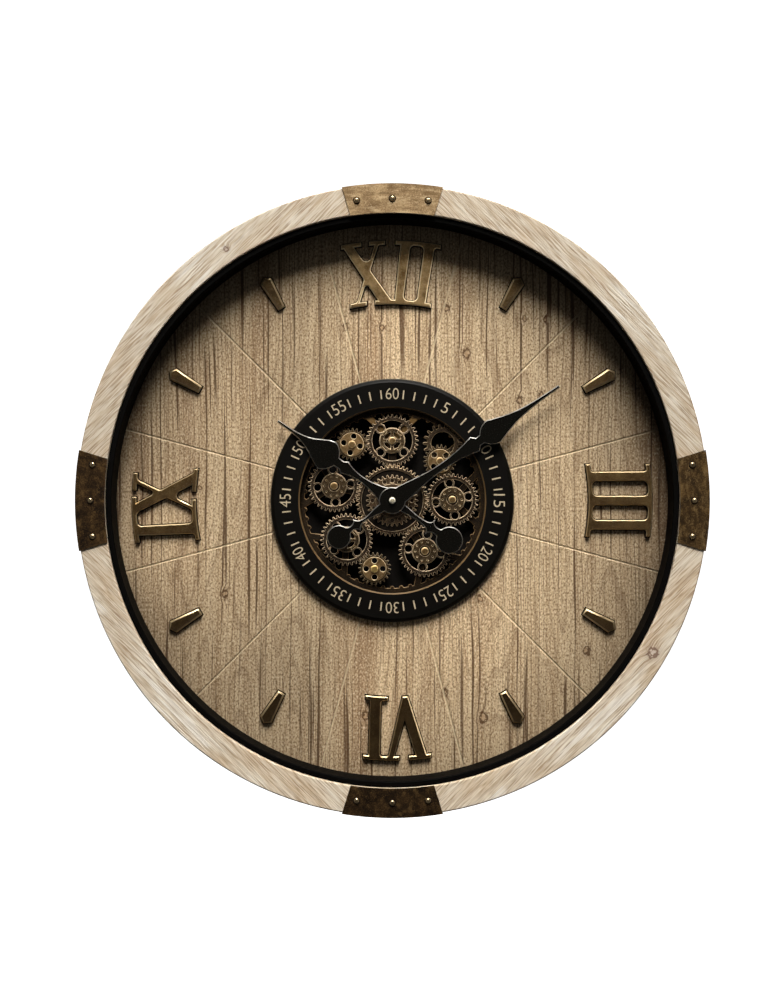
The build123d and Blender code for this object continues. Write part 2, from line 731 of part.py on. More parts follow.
with BuildPart() as centre_top_wheel:
    with BuildSketch(at(wheel_front_h)):
        Polygon(*gear_points(TOP_WHEEL_TEETH, TOP_WHEEL_MODULE, CENTRE_PHASE, GEAR_BACKLASH))
        Circle(centre_bore_r, mode=Mode.SUBTRACT)
        with PolarLocations(TOP_HOLE_CIRCLE_R, TOP_HOLE_COUNT):
            Circle(TOP_HOLE_R, mode=Mode.SUBTRACT)
    extrude(amount=TOP_WHEEL_T)
    with BuildSketch(at(top_wheel_front_h)):
        Circle(TOP_STEP_R)
        Circle(CLIP_R + LOOSE_FIT, mode=Mode.SUBTRACT)
    extrude(amount=TOP_STEP_T)
keep(centre_top_wheel, "centre_top_wheel")

# Satellite wheels and their hub plates
def cross_arms(angles):
    """Two crossed bars of a cross hub, between the round eyes of its wheel."""
    with BuildSketch(Plane.XY) as arms:
        for angle in angles[:2]:
            Rectangle(2 * CROSS_RING_R + 1, CROSS_ARM_W, rotation=angle + 45)
    return arms.sketch


def hub_holes(place, angles):
    """Holes through a hub plate and its wheel: slots in a cross hub, round dots in the others."""
    with BuildSketch(Plane.XY) as holes:
        if place in CROSS_HUBS:
            for angle in angles:
                with Locations(polar((HUB_PLATE_R + CROSS_RING_R) / 2, angle)):
                    SlotOverall(CROSS_SLOT_L, CROSS_SLOT_W, rotation=angle + 90)
        else:
            with PolarLocations(HUB_DOT_CIRCLE_R, HUB_DOT_COUNT):
                Circle(HUB_DOT_R)
    return holes.sketch


for place, centre in satellite_centres.items():
    phase = satellite_phases[place]
    eye_angles = [SATELLITE_EYES[place] + 90 * turn for turn in range(4)]
    with BuildPart() as satellite:
        with BuildSketch(at(wheel_back_h)):
            with Locations(centre):
                Polygon(*gear_points(SATELLITE_TEETH, MODULE, phase, GEAR_BACKLASH))
                Circle(SATELLITE_RIM_R, mode=Mode.SUBTRACT)
                Circle(SATELLITE_HUB_R)
                if place in CROSS_HUBS:
                    Circle(CROSS_RING_R, mode=Mode.SUBTRACT)
                    Circle(CROSS_BOSS_R)
                    add(cross_arms(eye_angles))
                add(hub_holes(place, eye_angles), mode=Mode.SUBTRACT)
            eyes = [beside(centre, satellite_eye_circle_r, angle) for angle in eye_angles]
            with Locations(*eyes):
                Circle(SATELLITE_EYE_R)
            with Locations(*eyes):
                Circle(SATELLITE_HOLE_R, mode=Mode.SUBTRACT)
            with Locations(centre):
                Circle(stud_bore_r, mode=Mode.SUBTRACT)
        extrude(amount=WHEEL_T)
    keep(satellite, f"satellite_{place}")

    with BuildPart() as hub_plate:
        with BuildSketch(at(wheel_front_h)):
            with Locations(centre):
                Circle(HUB_PLATE_R)
                if place in CROSS_HUBS:
                    Circle(CROSS_RING_R, mode=Mode.SUBTRACT)
                    add(cross_arms(eye_angles))
                add(hub_holes(place, eye_angles), mode=Mode.SUBTRACT)
                Circle(HUB_PLATE_BORE_R, mode=Mode.SUBTRACT)
        extrude(amount=HUB_PLATE_T)
    keep(hub_plate, f"hub_plate_{place}")

# Small brass wheels with a raised face
for place, centre in small_centres.items():
    phase = small_phases[place]
    bore_r = OUTPUT_SHAFT_R if place == "bottom" else STUD_R
    holes = [beside(centre, SMALL_HOLE_CIRCLE_R, SMALL_HOLES[place] + 90 * turn) for turn in range(4)]
    with BuildPart() as small_wheel:
        with BuildSketch(at(wheel_back_h)):
            with Locations(centre):
                Polygon(*gear_points(SMALL_TEETH, MODULE, phase, GEAR_BACKLASH))
        extrude(amount=WHEEL_T)
        with BuildSketch(at(wheel_front_h)):
            with Locations(centre):
                Circle(SMALL_FACE_R)
        extrude(amount=SMALL_FACE_T)
        with BuildSketch(at(wheel_back_h)):
            with Locations(*holes):
                Circle(SMALL_HOLE_R)
            with Locations(centre):
                Circle(bore_r + FIT)
        extrude(amount=WHEEL_T + SMALL_FACE_T, mode=Mode.SUBTRACT)
    keep(small_wheel, f"small_wheel_{place}")

# Hands: a spade on a waisted stem, a hub, and a tail that ends in a round weight
MINUTE_SHAPE = {
    "tip": [(194.0, 1.5), (171.0, 1.9), (155.0, 3.1), (141.0, 5.4), (128.6, 8.8), (118.0, 12.4)],
    "shoulder": [(110.8, 10.6), (104.4, 4.5), (99.6, 4.3), (96.0, 8.2)],
    "stem": [(96.0, 8.2), (76.6, 4.5), (59.4, 3.4), (42.2, 4.0), (26.4, 6.2), (9.0, 8.6)],
    "tail": [(-9.0, 3.2), (-29.0, 1.6), (-38.0, 2.9), (-41.3, 6.9)],
    "collar": [(-42.8, 4.0), (-45.9, 2.6), (-51.6, 4.2)],
    "weight": (-62.0, 11.4),
}
HOUR_SHAPE = {
    "tip": [(134.0, 1.3), (120.0, 1.6), (107.0, 2.9), (95.0, 6.8), (84.0, 12.8), (76.4, 15.6)],
    "shoulder": [(70.5, 12.2), (65.2, 4.7), (59.6, 4.2), (55.9, 6.8)],
    "stem": [(55.9, 6.8), (43.4, 3.3), (33.5, 2.9), (24.0, 4.0), (9.0, 8.4)],
    "tail": [(-9.0, 3.6), (-26.5, 2.3), (-36.4, 2.3), (-41.7, 3.7), (-44.0, 8.4)],
    "collar": [(-46.0, 5.0), (-50.6, 3.3), (-55.2, 4.8)],
    "weight": (-66.8, 13.0),
}


def hand_side(points, side):
    """One side of a hand's outline, mirrored for the other side."""
    return [(along, side * across) for along, across in points]


def hand_outline(shape):
    """Flat outline of a hand that points along +X, with its axis at the origin."""
    weight_x, weight_r = shape["weight"]
    with BuildSketch(Plane.XY) as outline:
        with BuildLine():
            Line(hand_side(shape["tip"], 1)[0], hand_side(shape["tip"], -1)[0])
            for side in (1, -1):
                tip = hand_side(shape["tip"], side)
                shoulder = hand_side(shape["shoulder"], side)
                stem = hand_side(shape["stem"], side)
                tail = hand_side(shape["tail"], side)
                collar = hand_side(shape["collar"], side)
                Spline(*tip)
                Spline(tip[-1], *shoulder[:2])
                Line(shoulder[1], shoulder[2])
                Line(shoulder[2], shoulder[3])
                Spline(*stem)
                Line(stem[-1], tail[0])
                Spline(*tail)
                Spline(tail[-1], *collar)
                Line(collar[-1], (weight_x, collar[-1][1]))
            Line((weight_x, shape["collar"][-1][1]), (weight_x, -shape["collar"][-1][1]))
        make_face()
        Circle(HAND_HUB_R)
        with Locations((weight_x, 0)):
            Circle(weight_r)
    return outline.sketch


hour_outline = hand_outline(HOUR_SHAPE)
with BuildPart() as hour_hand:
    with BuildSketch(turned(hour_hand_h, HOUR_HAND_ANGLE)):
        add(hour_outline)
        Circle(PIPE_R + FIT, mode=Mode.SUBTRACT)
    extrude(amount=HAND_T)
keep(hour_hand, "hour_hand")

minute_outline = hand_outline(MINUTE_SHAPE)
with BuildPart() as minute_hand:
    with BuildSketch(turned(minute_hand_h, MINUTE_HAND_ANGLE)):
        add(minute_outline)
        Circle(ARBOR_TIP_R + FIT, mode=Mode.SUBTRACT)
    extrude(amount=HAND_T)
keep(minute_hand, "minute_hand")

nut_bore_depth = NUT_T - NUT_DOME
with BuildPart() as hand_nut:
    with BuildSketch(at(minute_hand_front_h)):
        Circle(NUT_R)
    extrude(amount=NUT_T)
    fillet(front_edges(hand_nut), NUT_DOME)
    with BuildSketch(at(minute_hand_front_h)):
        Circle(ARBOR_TIP_R + FIT)
    extrude(amount=nut_bore_depth, mode=Mode.SUBTRACT)
keep(hand_nut, "hand_nut")

# Movement case: a tray behind the gear well with a bay for its cell and the threaded bush
movement_half = MOVEMENT_SIZE / 2
cell_bay = 2 * CELL_R + 2 * LOOSE_FIT
bay_wall_y = -movement_half + MOVEMENT_WALL + cell_bay
tray_floor_h = WELL_BACK_H - MOVEMENT_WALL
setting_axis = polar(SETTING_DISTANCE, SETTING_ANGLE)
works_height = movement_half - MOVEMENT_WALL - bay_wall_y - MOVEMENT_WALL
works_y = bay_wall_y + MOVEMENT_WALL + works_height / 2
with BuildPart() as movement_case:
    with BuildSketch(at(MOVEMENT_BACK_H)):
        Rectangle(MOVEMENT_SIZE, MOVEMENT_SIZE)
    extrude(amount=WELL_BACK_H - MOVEMENT_BACK_H)
    with BuildSketch(at(MOVEMENT_BACK_H)):
        with Locations((0, works_y)):
            Rectangle(MOVEMENT_SIZE - 2 * MOVEMENT_WALL, works_height)
        with Locations((0, bay_wall_y - cell_bay / 2)):
            Rectangle(MOVEMENT_SIZE - 2 * MOVEMENT_WALL, cell_bay)
    extrude(amount=tray_floor_h - MOVEMENT_BACK_H, mode=Mode.SUBTRACT)
    with BuildSketch(at(WELL_BACK_H)):
        Circle(BUSH_R)
    extrude(amount=BUSH_RISE)
    with BuildSketch(at(tray_floor_h)):
        Circle(BUSH_BORE_R)
    extrude(amount=BUSH_RISE + MOVEMENT_WALL, mode=Mode.SUBTRACT)
keep(movement_case, "movement_case")

cover_back_h = MOVEMENT_BACK_H - MOVEMENT_COVER_T
with BuildPart() as movement_cover:
    with BuildSketch(at(cover_back_h)):
        with Locations((0, works_y)):
            Rectangle(MOVEMENT_SIZE, works_height + 2 * MOVEMENT_WALL)
        with Locations(setting_axis):
            Circle(SETTING_SHAFT_R + FIT, mode=Mode.SUBTRACT)
    extrude(amount=MOVEMENT_COVER_T)
keep(movement_cover, "movement_cover")

with BuildPart() as bush_nut:
    with BuildSketch(at(floor_front_h)):
        RegularPolygon(BUSH_NUT_FLATS / 2, 6, major_radius=False)
        Circle(BUSH_R + FIT, mode=Mode.SUBTRACT)
    extrude(amount=BUSH_NUT_T)
keep(bush_nut, "bush_nut")

clip_back_h = top_wheel_front_h + END_PLAY
with BuildPart() as centre_clip:
    with BuildSketch(at(clip_back_h)):
        Circle(CLIP_R)
        Circle(BUSH_R + FIT, mode=Mode.SUBTRACT)
    extrude(amount=CLIP_T)
keep(centre_clip, "centre_clip")

# Motion work: cannon pinion, setting wheel with its pinion, hour wheel with its pipe
cannon_h = MOVEMENT_BACK_H + MOTION_GAP
hour_wheel_h = cannon_h + MOTION_WHEEL_T + MOTION_GAP
pinion_front_h = hour_wheel_h + MOTION_WHEEL_T
cannon_phase = 0.0
setting_phase = meshed_phase(cannon_phase, CANNON_TEETH, SETTING_ANGLE, SETTING_TEETH)
pinion_phase = 0.0
hour_phase = meshed_phase(pinion_phase, SETTING_PINION_TEETH, SETTING_ANGLE + 180, HOUR_TEETH)
with BuildPart() as minute_arbor:
    with BuildSketch(at(cannon_h)):
        Polygon(*gear_points(CANNON_TEETH, cannon_module, cannon_phase, FINE_BACKLASH))
    extrude(amount=MOTION_WHEEL_T)
    with BuildSketch(at(MOVEMENT_BACK_H + FIT)):
        Circle(ARBOR_R)
    extrude(amount=minute_hand_h - MOVEMENT_BACK_H - FIT)
    with BuildSketch(at(minute_hand_h)):
        Circle(ARBOR_TIP_R)
    extrude(amount=HAND_T + nut_bore_depth - FIT)
keep(minute_arbor, "minute_arbor")

with BuildPart() as hour_wheel:
    with BuildSketch(at(hour_wheel_h)):
        Polygon(*gear_points(HOUR_TEETH, hour_module, hour_phase, FINE_BACKLASH))
    extrude(amount=MOTION_WHEEL_T)
    with BuildSketch(at(hour_wheel_h)):
        Circle(PIPE_R)
    extrude(amount=hour_hand_h + HAND_T - hour_wheel_h)
    with BuildSketch(at(hour_wheel_h)):
        Circle(PIPE_BORE_R)
    extrude(amount=hour_hand_h + HAND_T - hour_wheel_h, mode=Mode.SUBTRACT)
keep(hour_wheel, "hour_wheel")

knob_back_h = cover_back_h - KNOB_T - END_PLAY
with BuildPart() as setting_wheel:
    with BuildSketch(at(cannon_h)):
        with Locations(setting_axis):
            Polygon(*gear_points(SETTING_TEETH, cannon_module, setting_phase, FINE_BACKLASH))
    extrude(amount=MOTION_WHEEL_T)
    with BuildSketch(at(cannon_h)):
        with Locations(setting_axis):
            Polygon(*gear_points(SETTING_PINION_TEETH, hour_module, pinion_phase, FINE_BACKLASH))
    extrude(amount=pinion_front_h - cannon_h)
    with BuildSketch(at(knob_back_h + KNOB_T / 2)):
        with Locations(setting_axis):
            Circle(SETTING_SHAFT_R)
    extrude(amount=tray_floor_h - FIT - knob_back_h - KNOB_T / 2)
keep(setting_wheel, "setting_wheel")

with BuildPart() as setting_knob:
    with BuildSketch(at(knob_back_h)):
        with Locations(setting_axis):
            Circle(KNOB_R)
            with PolarLocations(KNOB_R, KNOB_FLUTES):
                Circle(KNOB_R * pi / KNOB_FLUTES / 3, mode=Mode.SUBTRACT)
    extrude(amount=KNOB_T)
    with BuildSketch(at(knob_back_h + KNOB_T / 2)):
        with Locations(setting_axis):
            Circle(SETTING_SHAFT_R + FIT)
    extrude(amount=KNOB_T / 2, mode=Mode.SUBTRACT)
keep(setting_knob, "setting_knob")

# Circuit board on the tray floor and the drive coil on the board
board_x = -movement_half + MOVEMENT_WALL + LOOSE_FIT + BOARD_W / 2
with BuildPart() as circuit_board:
    with BuildSketch(at(tray_floor_h - BOARD_T)):
        with Locations((board_x, works_y)):
            Rectangle(BOARD_W, BOARD_L)
    extrude(amount=BOARD_T)
keep(circuit_board, "circuit_board")

coil_h = tray_floor_h - BOARD_T - COIL_R
coil_middle = at(coil_h).from_local_coords((board_x, works_y, 0))
coil_plane = Plane(origin=coil_middle, x_dir=(1, 0, 0), z_dir=(0, 0, 1))
with BuildPart() as drive_coil:
    with BuildSketch(coil_plane):
        Circle(COIL_R)
    extrude(amount=COIL_LENGTH / 2, both=True)
    with BuildSketch(coil_plane):
        Circle(COIL_CORE_R)
    extrude(amount=BOARD_L / 2, both=True)
keep(drive_coil, "drive_coil")

# Gear motor: tray behind the well, motor, pinion, output shaft with its gear, cover
output_r = MOTOR_MODULE * (OUTPUT_TEETH / 2 + ADDENDUM)
motor_spin_axis = beside(motor_axis, motor_distance, 0)
box_left = motor_axis[0] - output_r - MOTOR_BOX_MARGIN - MOTOR_BOX_WALL
works_right = motor_spin_axis[0] + MOTOR_R + MOTOR_BOX_MARGIN
box_right = works_right + MOTOR_BOX_WALL + cell_bay + MOTOR_BOX_WALL
box_half_height = CELL_LENGTH / 2 + CELL_CAP_T + LOOSE_FIT + MOTOR_BOX_WALL
box_width = box_right - box_left
box_x = (box_left + box_right) / 2
motor_floor_h = WELL_BACK_H - MOTOR_BOX_WALL
motor_cell_x = works_right + MOTOR_BOX_WALL + cell_bay / 2
motor_works_w = works_right - box_left - MOTOR_BOX_WALL
motor_works_x = works_right - motor_works_w / 2
with BuildPart() as motor_case:
    with BuildSketch(at(MOTOR_BOX_BACK_H)):
        with Locations((box_x, motor_axis[1])):
            Rectangle(box_width, 2 * box_half_height)
    extrude(amount=WELL_BACK_H - MOTOR_BOX_BACK_H)
    with BuildSketch(at(MOTOR_BOX_BACK_H)):
        with Locations((motor_works_x, motor_axis[1])):
            Rectangle(motor_works_w, 2 * (box_half_height - MOTOR_BOX_WALL))
        with Locations((motor_cell_x, motor_axis[1])):
            Rectangle(cell_bay, 2 * (box_half_height - MOTOR_BOX_WALL))
    extrude(amount=motor_floor_h - MOTOR_BOX_BACK_H, mode=Mode.SUBTRACT)
    with BuildSketch(at(motor_floor_h)):
        with Locations(motor_axis):
            Circle(OUTPUT_SHAFT_R + FIT)
    extrude(amount=MOTOR_BOX_WALL, mode=Mode.SUBTRACT)
keep(motor_case, "motor_case")

motor_cover_back_h = MOTOR_BOX_BACK_H - MOTOR_COVER_T
with BuildPart() as motor_cover:
    with BuildSketch(at(motor_cover_back_h)):
        with Locations((motor_works_x, motor_axis[1])):
            Rectangle(motor_works_w + 2 * MOTOR_BOX_WALL, 2 * box_half_height)
    extrude(amount=MOTOR_COVER_T)
keep(motor_cover, "motor_cover")

motor_gear_h = MOTOR_BOX_BACK_H + MOTOR_LENGTH + MOTION_GAP
output_phase = 0.0
pinion_mesh_phase = meshed_phase(output_phase, OUTPUT_TEETH, 0, MOTOR_PINION_TEETH)
with BuildPart() as motor:
    with BuildSketch(at(MOTOR_BOX_BACK_H)):
        with Locations(motor_spin_axis):
            Circle(MOTOR_R)
    extrude(amount=MOTOR_LENGTH)
    with BuildSketch(at(MOTOR_BOX_BACK_H + MOTOR_LENGTH / 2)):
        with Locations(motor_spin_axis):
            Circle(SETTING_SHAFT_R + FIT)
    extrude(amount=MOTOR_LENGTH / 2, mode=Mode.SUBTRACT)
keep(motor, "motor")

with BuildPart() as motor_pinion:
    with BuildSketch(at(MOTOR_BOX_BACK_H + MOTOR_LENGTH / 2 + FIT)):
        with Locations(motor_spin_axis):
            Circle(SETTING_SHAFT_R)
    extrude(amount=motor_gear_h + MOTION_WHEEL_T - MOTOR_BOX_BACK_H - MOTOR_LENGTH / 2 - FIT)
    with BuildSketch(at(motor_gear_h)):
        with Locations(motor_spin_axis):
            Polygon(*gear_points(MOTOR_PINION_TEETH, MOTOR_MODULE, pinion_mesh_phase, FINE_BACKLASH))
    extrude(amount=MOTION_WHEEL_T)
keep(motor_pinion, "motor_pinion")

with BuildPart() as output_shaft:
    with BuildSketch(at(motor_gear_h)):
        with Locations(motor_axis):
            Polygon(*gear_points(OUTPUT_TEETH, MOTOR_MODULE, output_phase, FINE_BACKLASH))
    extrude(amount=MOTION_WHEEL_T)
    with BuildSketch(at(MOTOR_BOX_BACK_H + FIT)):
        with Locations(motor_axis):
            Circle(OUTPUT_SHAFT_R)
    extrude(amount=stud_head_h - MOTOR_BOX_BACK_H - FIT)
    with BuildSketch(at(stud_head_h)):
        with Locations(motor_axis):
            Circle(STUD_HEAD_R)
    extrude(amount=STUD_HEAD_T)
    fillet(front_edges(output_shaft), STUD_DOME)
keep(output_shaft, "output_shaft")

# Cells: one lies across the bottom of the movement, one stands beside the motor
movement_cell_h = tray_floor_h - LOOSE_FIT - CELL_R
motor_cell_h = motor_floor_h - LOOSE_FIT - CELL_R
movement_cell_y = bay_wall_y - cell_bay / 2
lying = Plane(at(movement_cell_h).from_local_coords((-CELL_LENGTH / 2, movement_cell_y, 0)), z_dir=(1, 0, 0))
standing_foot = at(motor_cell_h).from_local_coords((motor_cell_x, motor_axis[1] - CELL_LENGTH / 2, 0))
standing = Plane(standing_foot, z_dir=(0, 0, 1))
with BuildPart() as cells:
    for foot in (lying, standing):
        with BuildSketch(foot):
            Circle(CELL_R)
        extrude(amount=CELL_LENGTH - CELL_CAP_T)
        with BuildSketch(foot.offset(CELL_LENGTH - CELL_CAP_T)):
            Circle(CELL_CAP_R)
        extrude(amount=CELL_CAP_T)
keep(cells, "cells")
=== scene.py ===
import json
from math import radians

import bmesh
import bpy
from mathutils import Matrix, Vector


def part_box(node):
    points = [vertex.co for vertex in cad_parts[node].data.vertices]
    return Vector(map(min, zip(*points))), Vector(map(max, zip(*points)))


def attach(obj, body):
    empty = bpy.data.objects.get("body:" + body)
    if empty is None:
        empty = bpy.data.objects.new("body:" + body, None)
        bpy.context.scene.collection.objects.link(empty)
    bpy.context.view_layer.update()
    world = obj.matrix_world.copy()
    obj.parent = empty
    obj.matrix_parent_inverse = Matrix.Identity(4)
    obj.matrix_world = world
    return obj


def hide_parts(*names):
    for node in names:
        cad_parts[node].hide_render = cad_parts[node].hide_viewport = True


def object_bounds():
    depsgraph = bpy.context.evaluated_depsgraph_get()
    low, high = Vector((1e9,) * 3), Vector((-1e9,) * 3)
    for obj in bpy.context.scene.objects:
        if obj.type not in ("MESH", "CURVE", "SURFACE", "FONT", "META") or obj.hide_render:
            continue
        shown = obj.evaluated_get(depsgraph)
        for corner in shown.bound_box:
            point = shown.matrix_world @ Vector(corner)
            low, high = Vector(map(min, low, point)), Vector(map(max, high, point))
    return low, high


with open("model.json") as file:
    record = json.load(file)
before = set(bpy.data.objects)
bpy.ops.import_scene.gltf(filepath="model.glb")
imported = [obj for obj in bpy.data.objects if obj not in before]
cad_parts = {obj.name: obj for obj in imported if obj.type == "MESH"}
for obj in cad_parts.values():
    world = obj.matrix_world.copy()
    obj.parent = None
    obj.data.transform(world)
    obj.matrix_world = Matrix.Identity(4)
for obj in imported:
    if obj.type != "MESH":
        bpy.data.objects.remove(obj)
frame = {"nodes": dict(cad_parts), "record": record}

# Dresses a round wooden wall clock with an open train of wheels. Lengths are metres.
# The hanger's keyhole is the origin, +Z is up and the dial faces -Y.

cad_low, cad_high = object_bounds()
nodes = frame["nodes"]
bodies = frame["record"]["behaviour"]["bodies"]
body_of_node = {node: body for body, members in bodies.items() for node in members}
slot_of_node = {entry["node"]: entry["material_slot"] for entry in frame["record"]["subparts"]}

# Measures of the clock that the finishes and the print need
AXIS_Z = (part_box("dial_board")[0].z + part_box("dial_board")[1].z) / 2
DIAL_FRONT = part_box("dial_board")[0].y
CHAPTER_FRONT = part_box("chapter_ring")[0].y
STRAP_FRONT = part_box("rim_strap_top")[0].y
WHEEL_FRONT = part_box("satellite_top")[0].y
SMALL_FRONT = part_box("small_wheel_bottom")[0].y
TOP_WHEEL_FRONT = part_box("centre_top_wheel")[0].y
COARSE_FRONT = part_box("coarse_wheel")[0].y
RIM_RADIUS = (cad_high.x - cad_low.x) / 2

# Print of the chapter ring, and the thin dark lines of painted shade at the feet of raised pieces
FIGURE_RADIUS = 0.1030
FIGURE_HEIGHT = 0.0108
FIGURE_WIDTH = 0.0059
FIGURE_GAP = 0.0008
FIGURE_THINNING = -0.008
FIGURE_RESOLUTION = 4
DEGREES_A_MINUTE = 6
BAR_RADIUS = 0.1024
BAR_LENGTH = 0.0084
BAR_WIDTH = 0.0013
PRINT_LIFT = 0.00012
SHADE_LINE_WIDTH = 0.0009
RIVET_SHADE_LINE_WIDTH = 0.0007

# Faces and edges of the pieces
MERGE_GAP = 2e-6
FLAT_ANGLE = radians(1.0)
SMOOTH_ANGLE = radians(32)
SHARP_ANGLE = radians(40)
FRONT_SHARE = 0.9
FLAT_SHARE = 0.99
FRONT, BACK = -1, 1

# The photograph's camera: on the axis, 771 by 1000 pixels
PHOTO_WIDTH = 771
PHOTO_HEIGHT = 1000
PHOTO_CENTRE = (392.4, 500.6)
PHOTO_RIM_RADIUS = 318.0
CAMERA_DISTANCE = 1.6
SENSOR_WIDTH = 36.0
NEAREST_SEEN = 0.05
FARTHEST_SEEN = 60.0

# Studio
ROOM = 14.0
FLOOR_DROP = 1.0
PAPER_WHITE = (0.9, 0.9, 0.9, 1.0)
PAPER_ROUGHNESS = 0.9
PAPER_GLOW = 1.0
ROOM_GLOW = 0.065
WHITE = (1.0, 1.0, 1.0, 1.0)
ORIGIN = (0.0, 0.0, 0.0)


def srgb(red, green, blue):
    """Linear colour of an 8-bit screen colour."""
    channels = []
    for value in (red, green, blue):
        share = value / 255
        channels.append(share / 12.92 if share <= 0.04045 else ((share + 0.055) / 1.055) ** 2.4)
    return (*channels, 1.0)


# Shader helpers
def start_finish(name):
    """A new material with its node tree and its shader."""
    finish = bpy.data.materials.new(name)
    finish.use_nodes = True
    return finish, finish.node_tree, finish.node_tree.nodes["Principled BSDF"]


def base_tone(finish):
    """A finish's node tree, its shader and the tone that feeds the shader."""
    tree = finish.node_tree
    shader = tree.nodes["Principled BSDF"]
    return tree, shader, shader.inputs["Base Color"].links[0].from_socket


def connect(tree, source, socket):
    """Link an output into a socket, or set the socket if a plain value is given."""
    if isinstance(source, bpy.types.NodeSocket):
        tree.links.new(source, socket)
    else:
        socket.default_value = source


def object_point(tree):
    """Position on the piece in the clock's own frame."""
    return tree.nodes.new("ShaderNodeTexCoord").outputs["Object"]


def turned_point(tree, point, angle):
    """The position turned about the axis of the hands."""
    turn = tree.nodes.new("ShaderNodeVectorRotate")
    turn.rotation_type = "Y_AXIS"
    turn.inputs["Center"].default_value = (0, 0, AXIS_Z)
    turn.inputs["Angle"].default_value = angle
    connect(tree, point, turn.inputs["Vector"])
    return turn.outputs["Vector"]


def vector_math(tree, operation, first, second=ORIGIN):
    """A vector operation of two values."""
    node = tree.nodes.new("ShaderNodeVectorMath")
    node.operation = operation
    connect(tree, first, node.inputs[0])
    connect(tree, second, node.inputs[1])
    return node.outputs["Value" if operation == "LENGTH" else "Vector"]


def maths(tree, operation, first, second=0.5):
    """A number operation of two values."""
    node = tree.nodes.new("ShaderNodeMath")
    node.operation = operation
    connect(tree, first, node.inputs[0])
    connect(tree, second, node.inputs[1])
    return node.outputs["Value"]


def product(tree, first, second):
    """Two numbers multiplied."""
    return maths(tree, "MULTIPLY", first, second)


def split(tree, vector):
    """The X, Y and Z of a vector."""
    node = tree.nodes.new("ShaderNodeSeparateXYZ")
    connect(tree, vector, node.inputs["Vector"])
    return node.outputs["X"], node.outputs["Y"], node.outputs["Z"]


def shifted(tree, point, axis, amount):
    """The position moved along one axis by an amount."""
    offset = tree.nodes.new("ShaderNodeCombineXYZ")
    connect(tree, amount, offset.inputs[axis])
    return vector_math(tree, "ADD", point, offset.outputs["Vector"])


def distance(tree, point, across=0.0, above=0.0, upright=1.0):
    """Distance over the dial from a place beside and above the axis, with heights scaled."""
    away = vector_math(tree, "SUBTRACT", point, (across, 0.0, above + AXIS_Z))
    return vector_math(tree, "LENGTH", vector_math(tree, "MULTIPLY", away, (1.0, 0.0, upright)))


def noise(tree, point, scale, detail=4.0, roughness=0.55):
    """Cloudy noise at a scale."""
    node = tree.nodes.new("ShaderNodeTexNoise")
    connect(tree, point, node.inputs["Vector"])
    node.inputs["Scale"].default_value = scale
    node.inputs["Detail"].default_value = detail
    node.inputs["Roughness"].default_value = roughness
    return node.outputs["Fac"]


def grain(tree, point, stretch, detail, roughness=0.55):
    """Noise with its own number of features in a metre along X, Y and Z."""
    return noise(tree, vector_math(tree, "MULTIPLY", point, stretch), 1.0, detail, roughness)


def ramp(tree, factor, stops):
    """Colours laid out along a factor."""
    node = tree.nodes.new("ShaderNodeValToRGB")
    elements = node.color_ramp.elements
    while len(elements) < len(stops):
        elements.new(0.5)
    for element, (place, colour) in zip(elements, stops):
        element.position = place
        element.color = colour
    connect(tree, factor, node.inputs["Fac"])
    return node.outputs["Color"]


def span(tree, factor, low, high, to_low=0.0, to_high=1.0, course="LINEAR"):
    """A factor stretched from one range to another."""
    node = tree.nodes.new("ShaderNodeMapRange")
    node.interpolation_type = course
    connect(tree, factor, node.inputs["Value"])
    node.inputs["From Min"].default_value = low
    node.inputs["From Max"].default_value = high
    node.inputs["To Min"].default_value = to_low
    node.inputs["To Max"].default_value = to_high
    return node.outputs["Result"]


def mix(tree, factor, first, second, blend="MIX"):
    """Two colours mixed by a factor."""
    node = tree.nodes.new("ShaderNodeMix")
    node.data_type = "RGBA"
    node.blend_type = blend
    connect(tree, factor, node.inputs["Factor"])
    connect(tree, first, node.inputs["A"])
    connect(tree, second, node.inputs["B"])
    return [socket for socket in node.outputs if socket.type == "RGBA"][0]


def shaded(tree, tone, shade):
    """A tone multiplied by a shade."""
    return mix(tree, 1.0, tone, shade, "MULTIPLY")


def tinted(tree, tone, factor, low, high, share, colour):
    """A tone that takes up to a share of a colour where a factor runs from low to high."""
    return mix(tree, span(tree, factor, low, high, 0.0, share), tone, colour)


def relief(tree, height, shader, strength, depth):
    """Small bumps on the shader's surface."""
    node = tree.nodes.new("ShaderNodeBump")
    node.inputs["Strength"].default_value = strength
    node.inputs["Distance"].default_value = depth
    connect(tree, height, node.inputs["Height"])
    connect(tree, node.outputs["Normal"], shader.inputs["Normal"])


# Facing between which an eased edge starts at the wall, and between which it ends at the front
EASED_START = (0.3, 0.5)
EASED_END = (0.97, 0.9)


def facing_room(tree):
    """How squarely the surface faces the room: one on a front, zero on a wall."""
    normal = tree.nodes.new("ShaderNodeNewGeometry").outputs["Normal"]
    return product(tree, split(tree, normal)[1], -1.0)


def eased_edges(tree):
    """One on the sloping strip along an eased front edge, zero elsewhere."""
    facing = facing_room(tree)
    return product(tree, span(tree, facing, *EASED_START), span(tree, facing, *EASED_END))


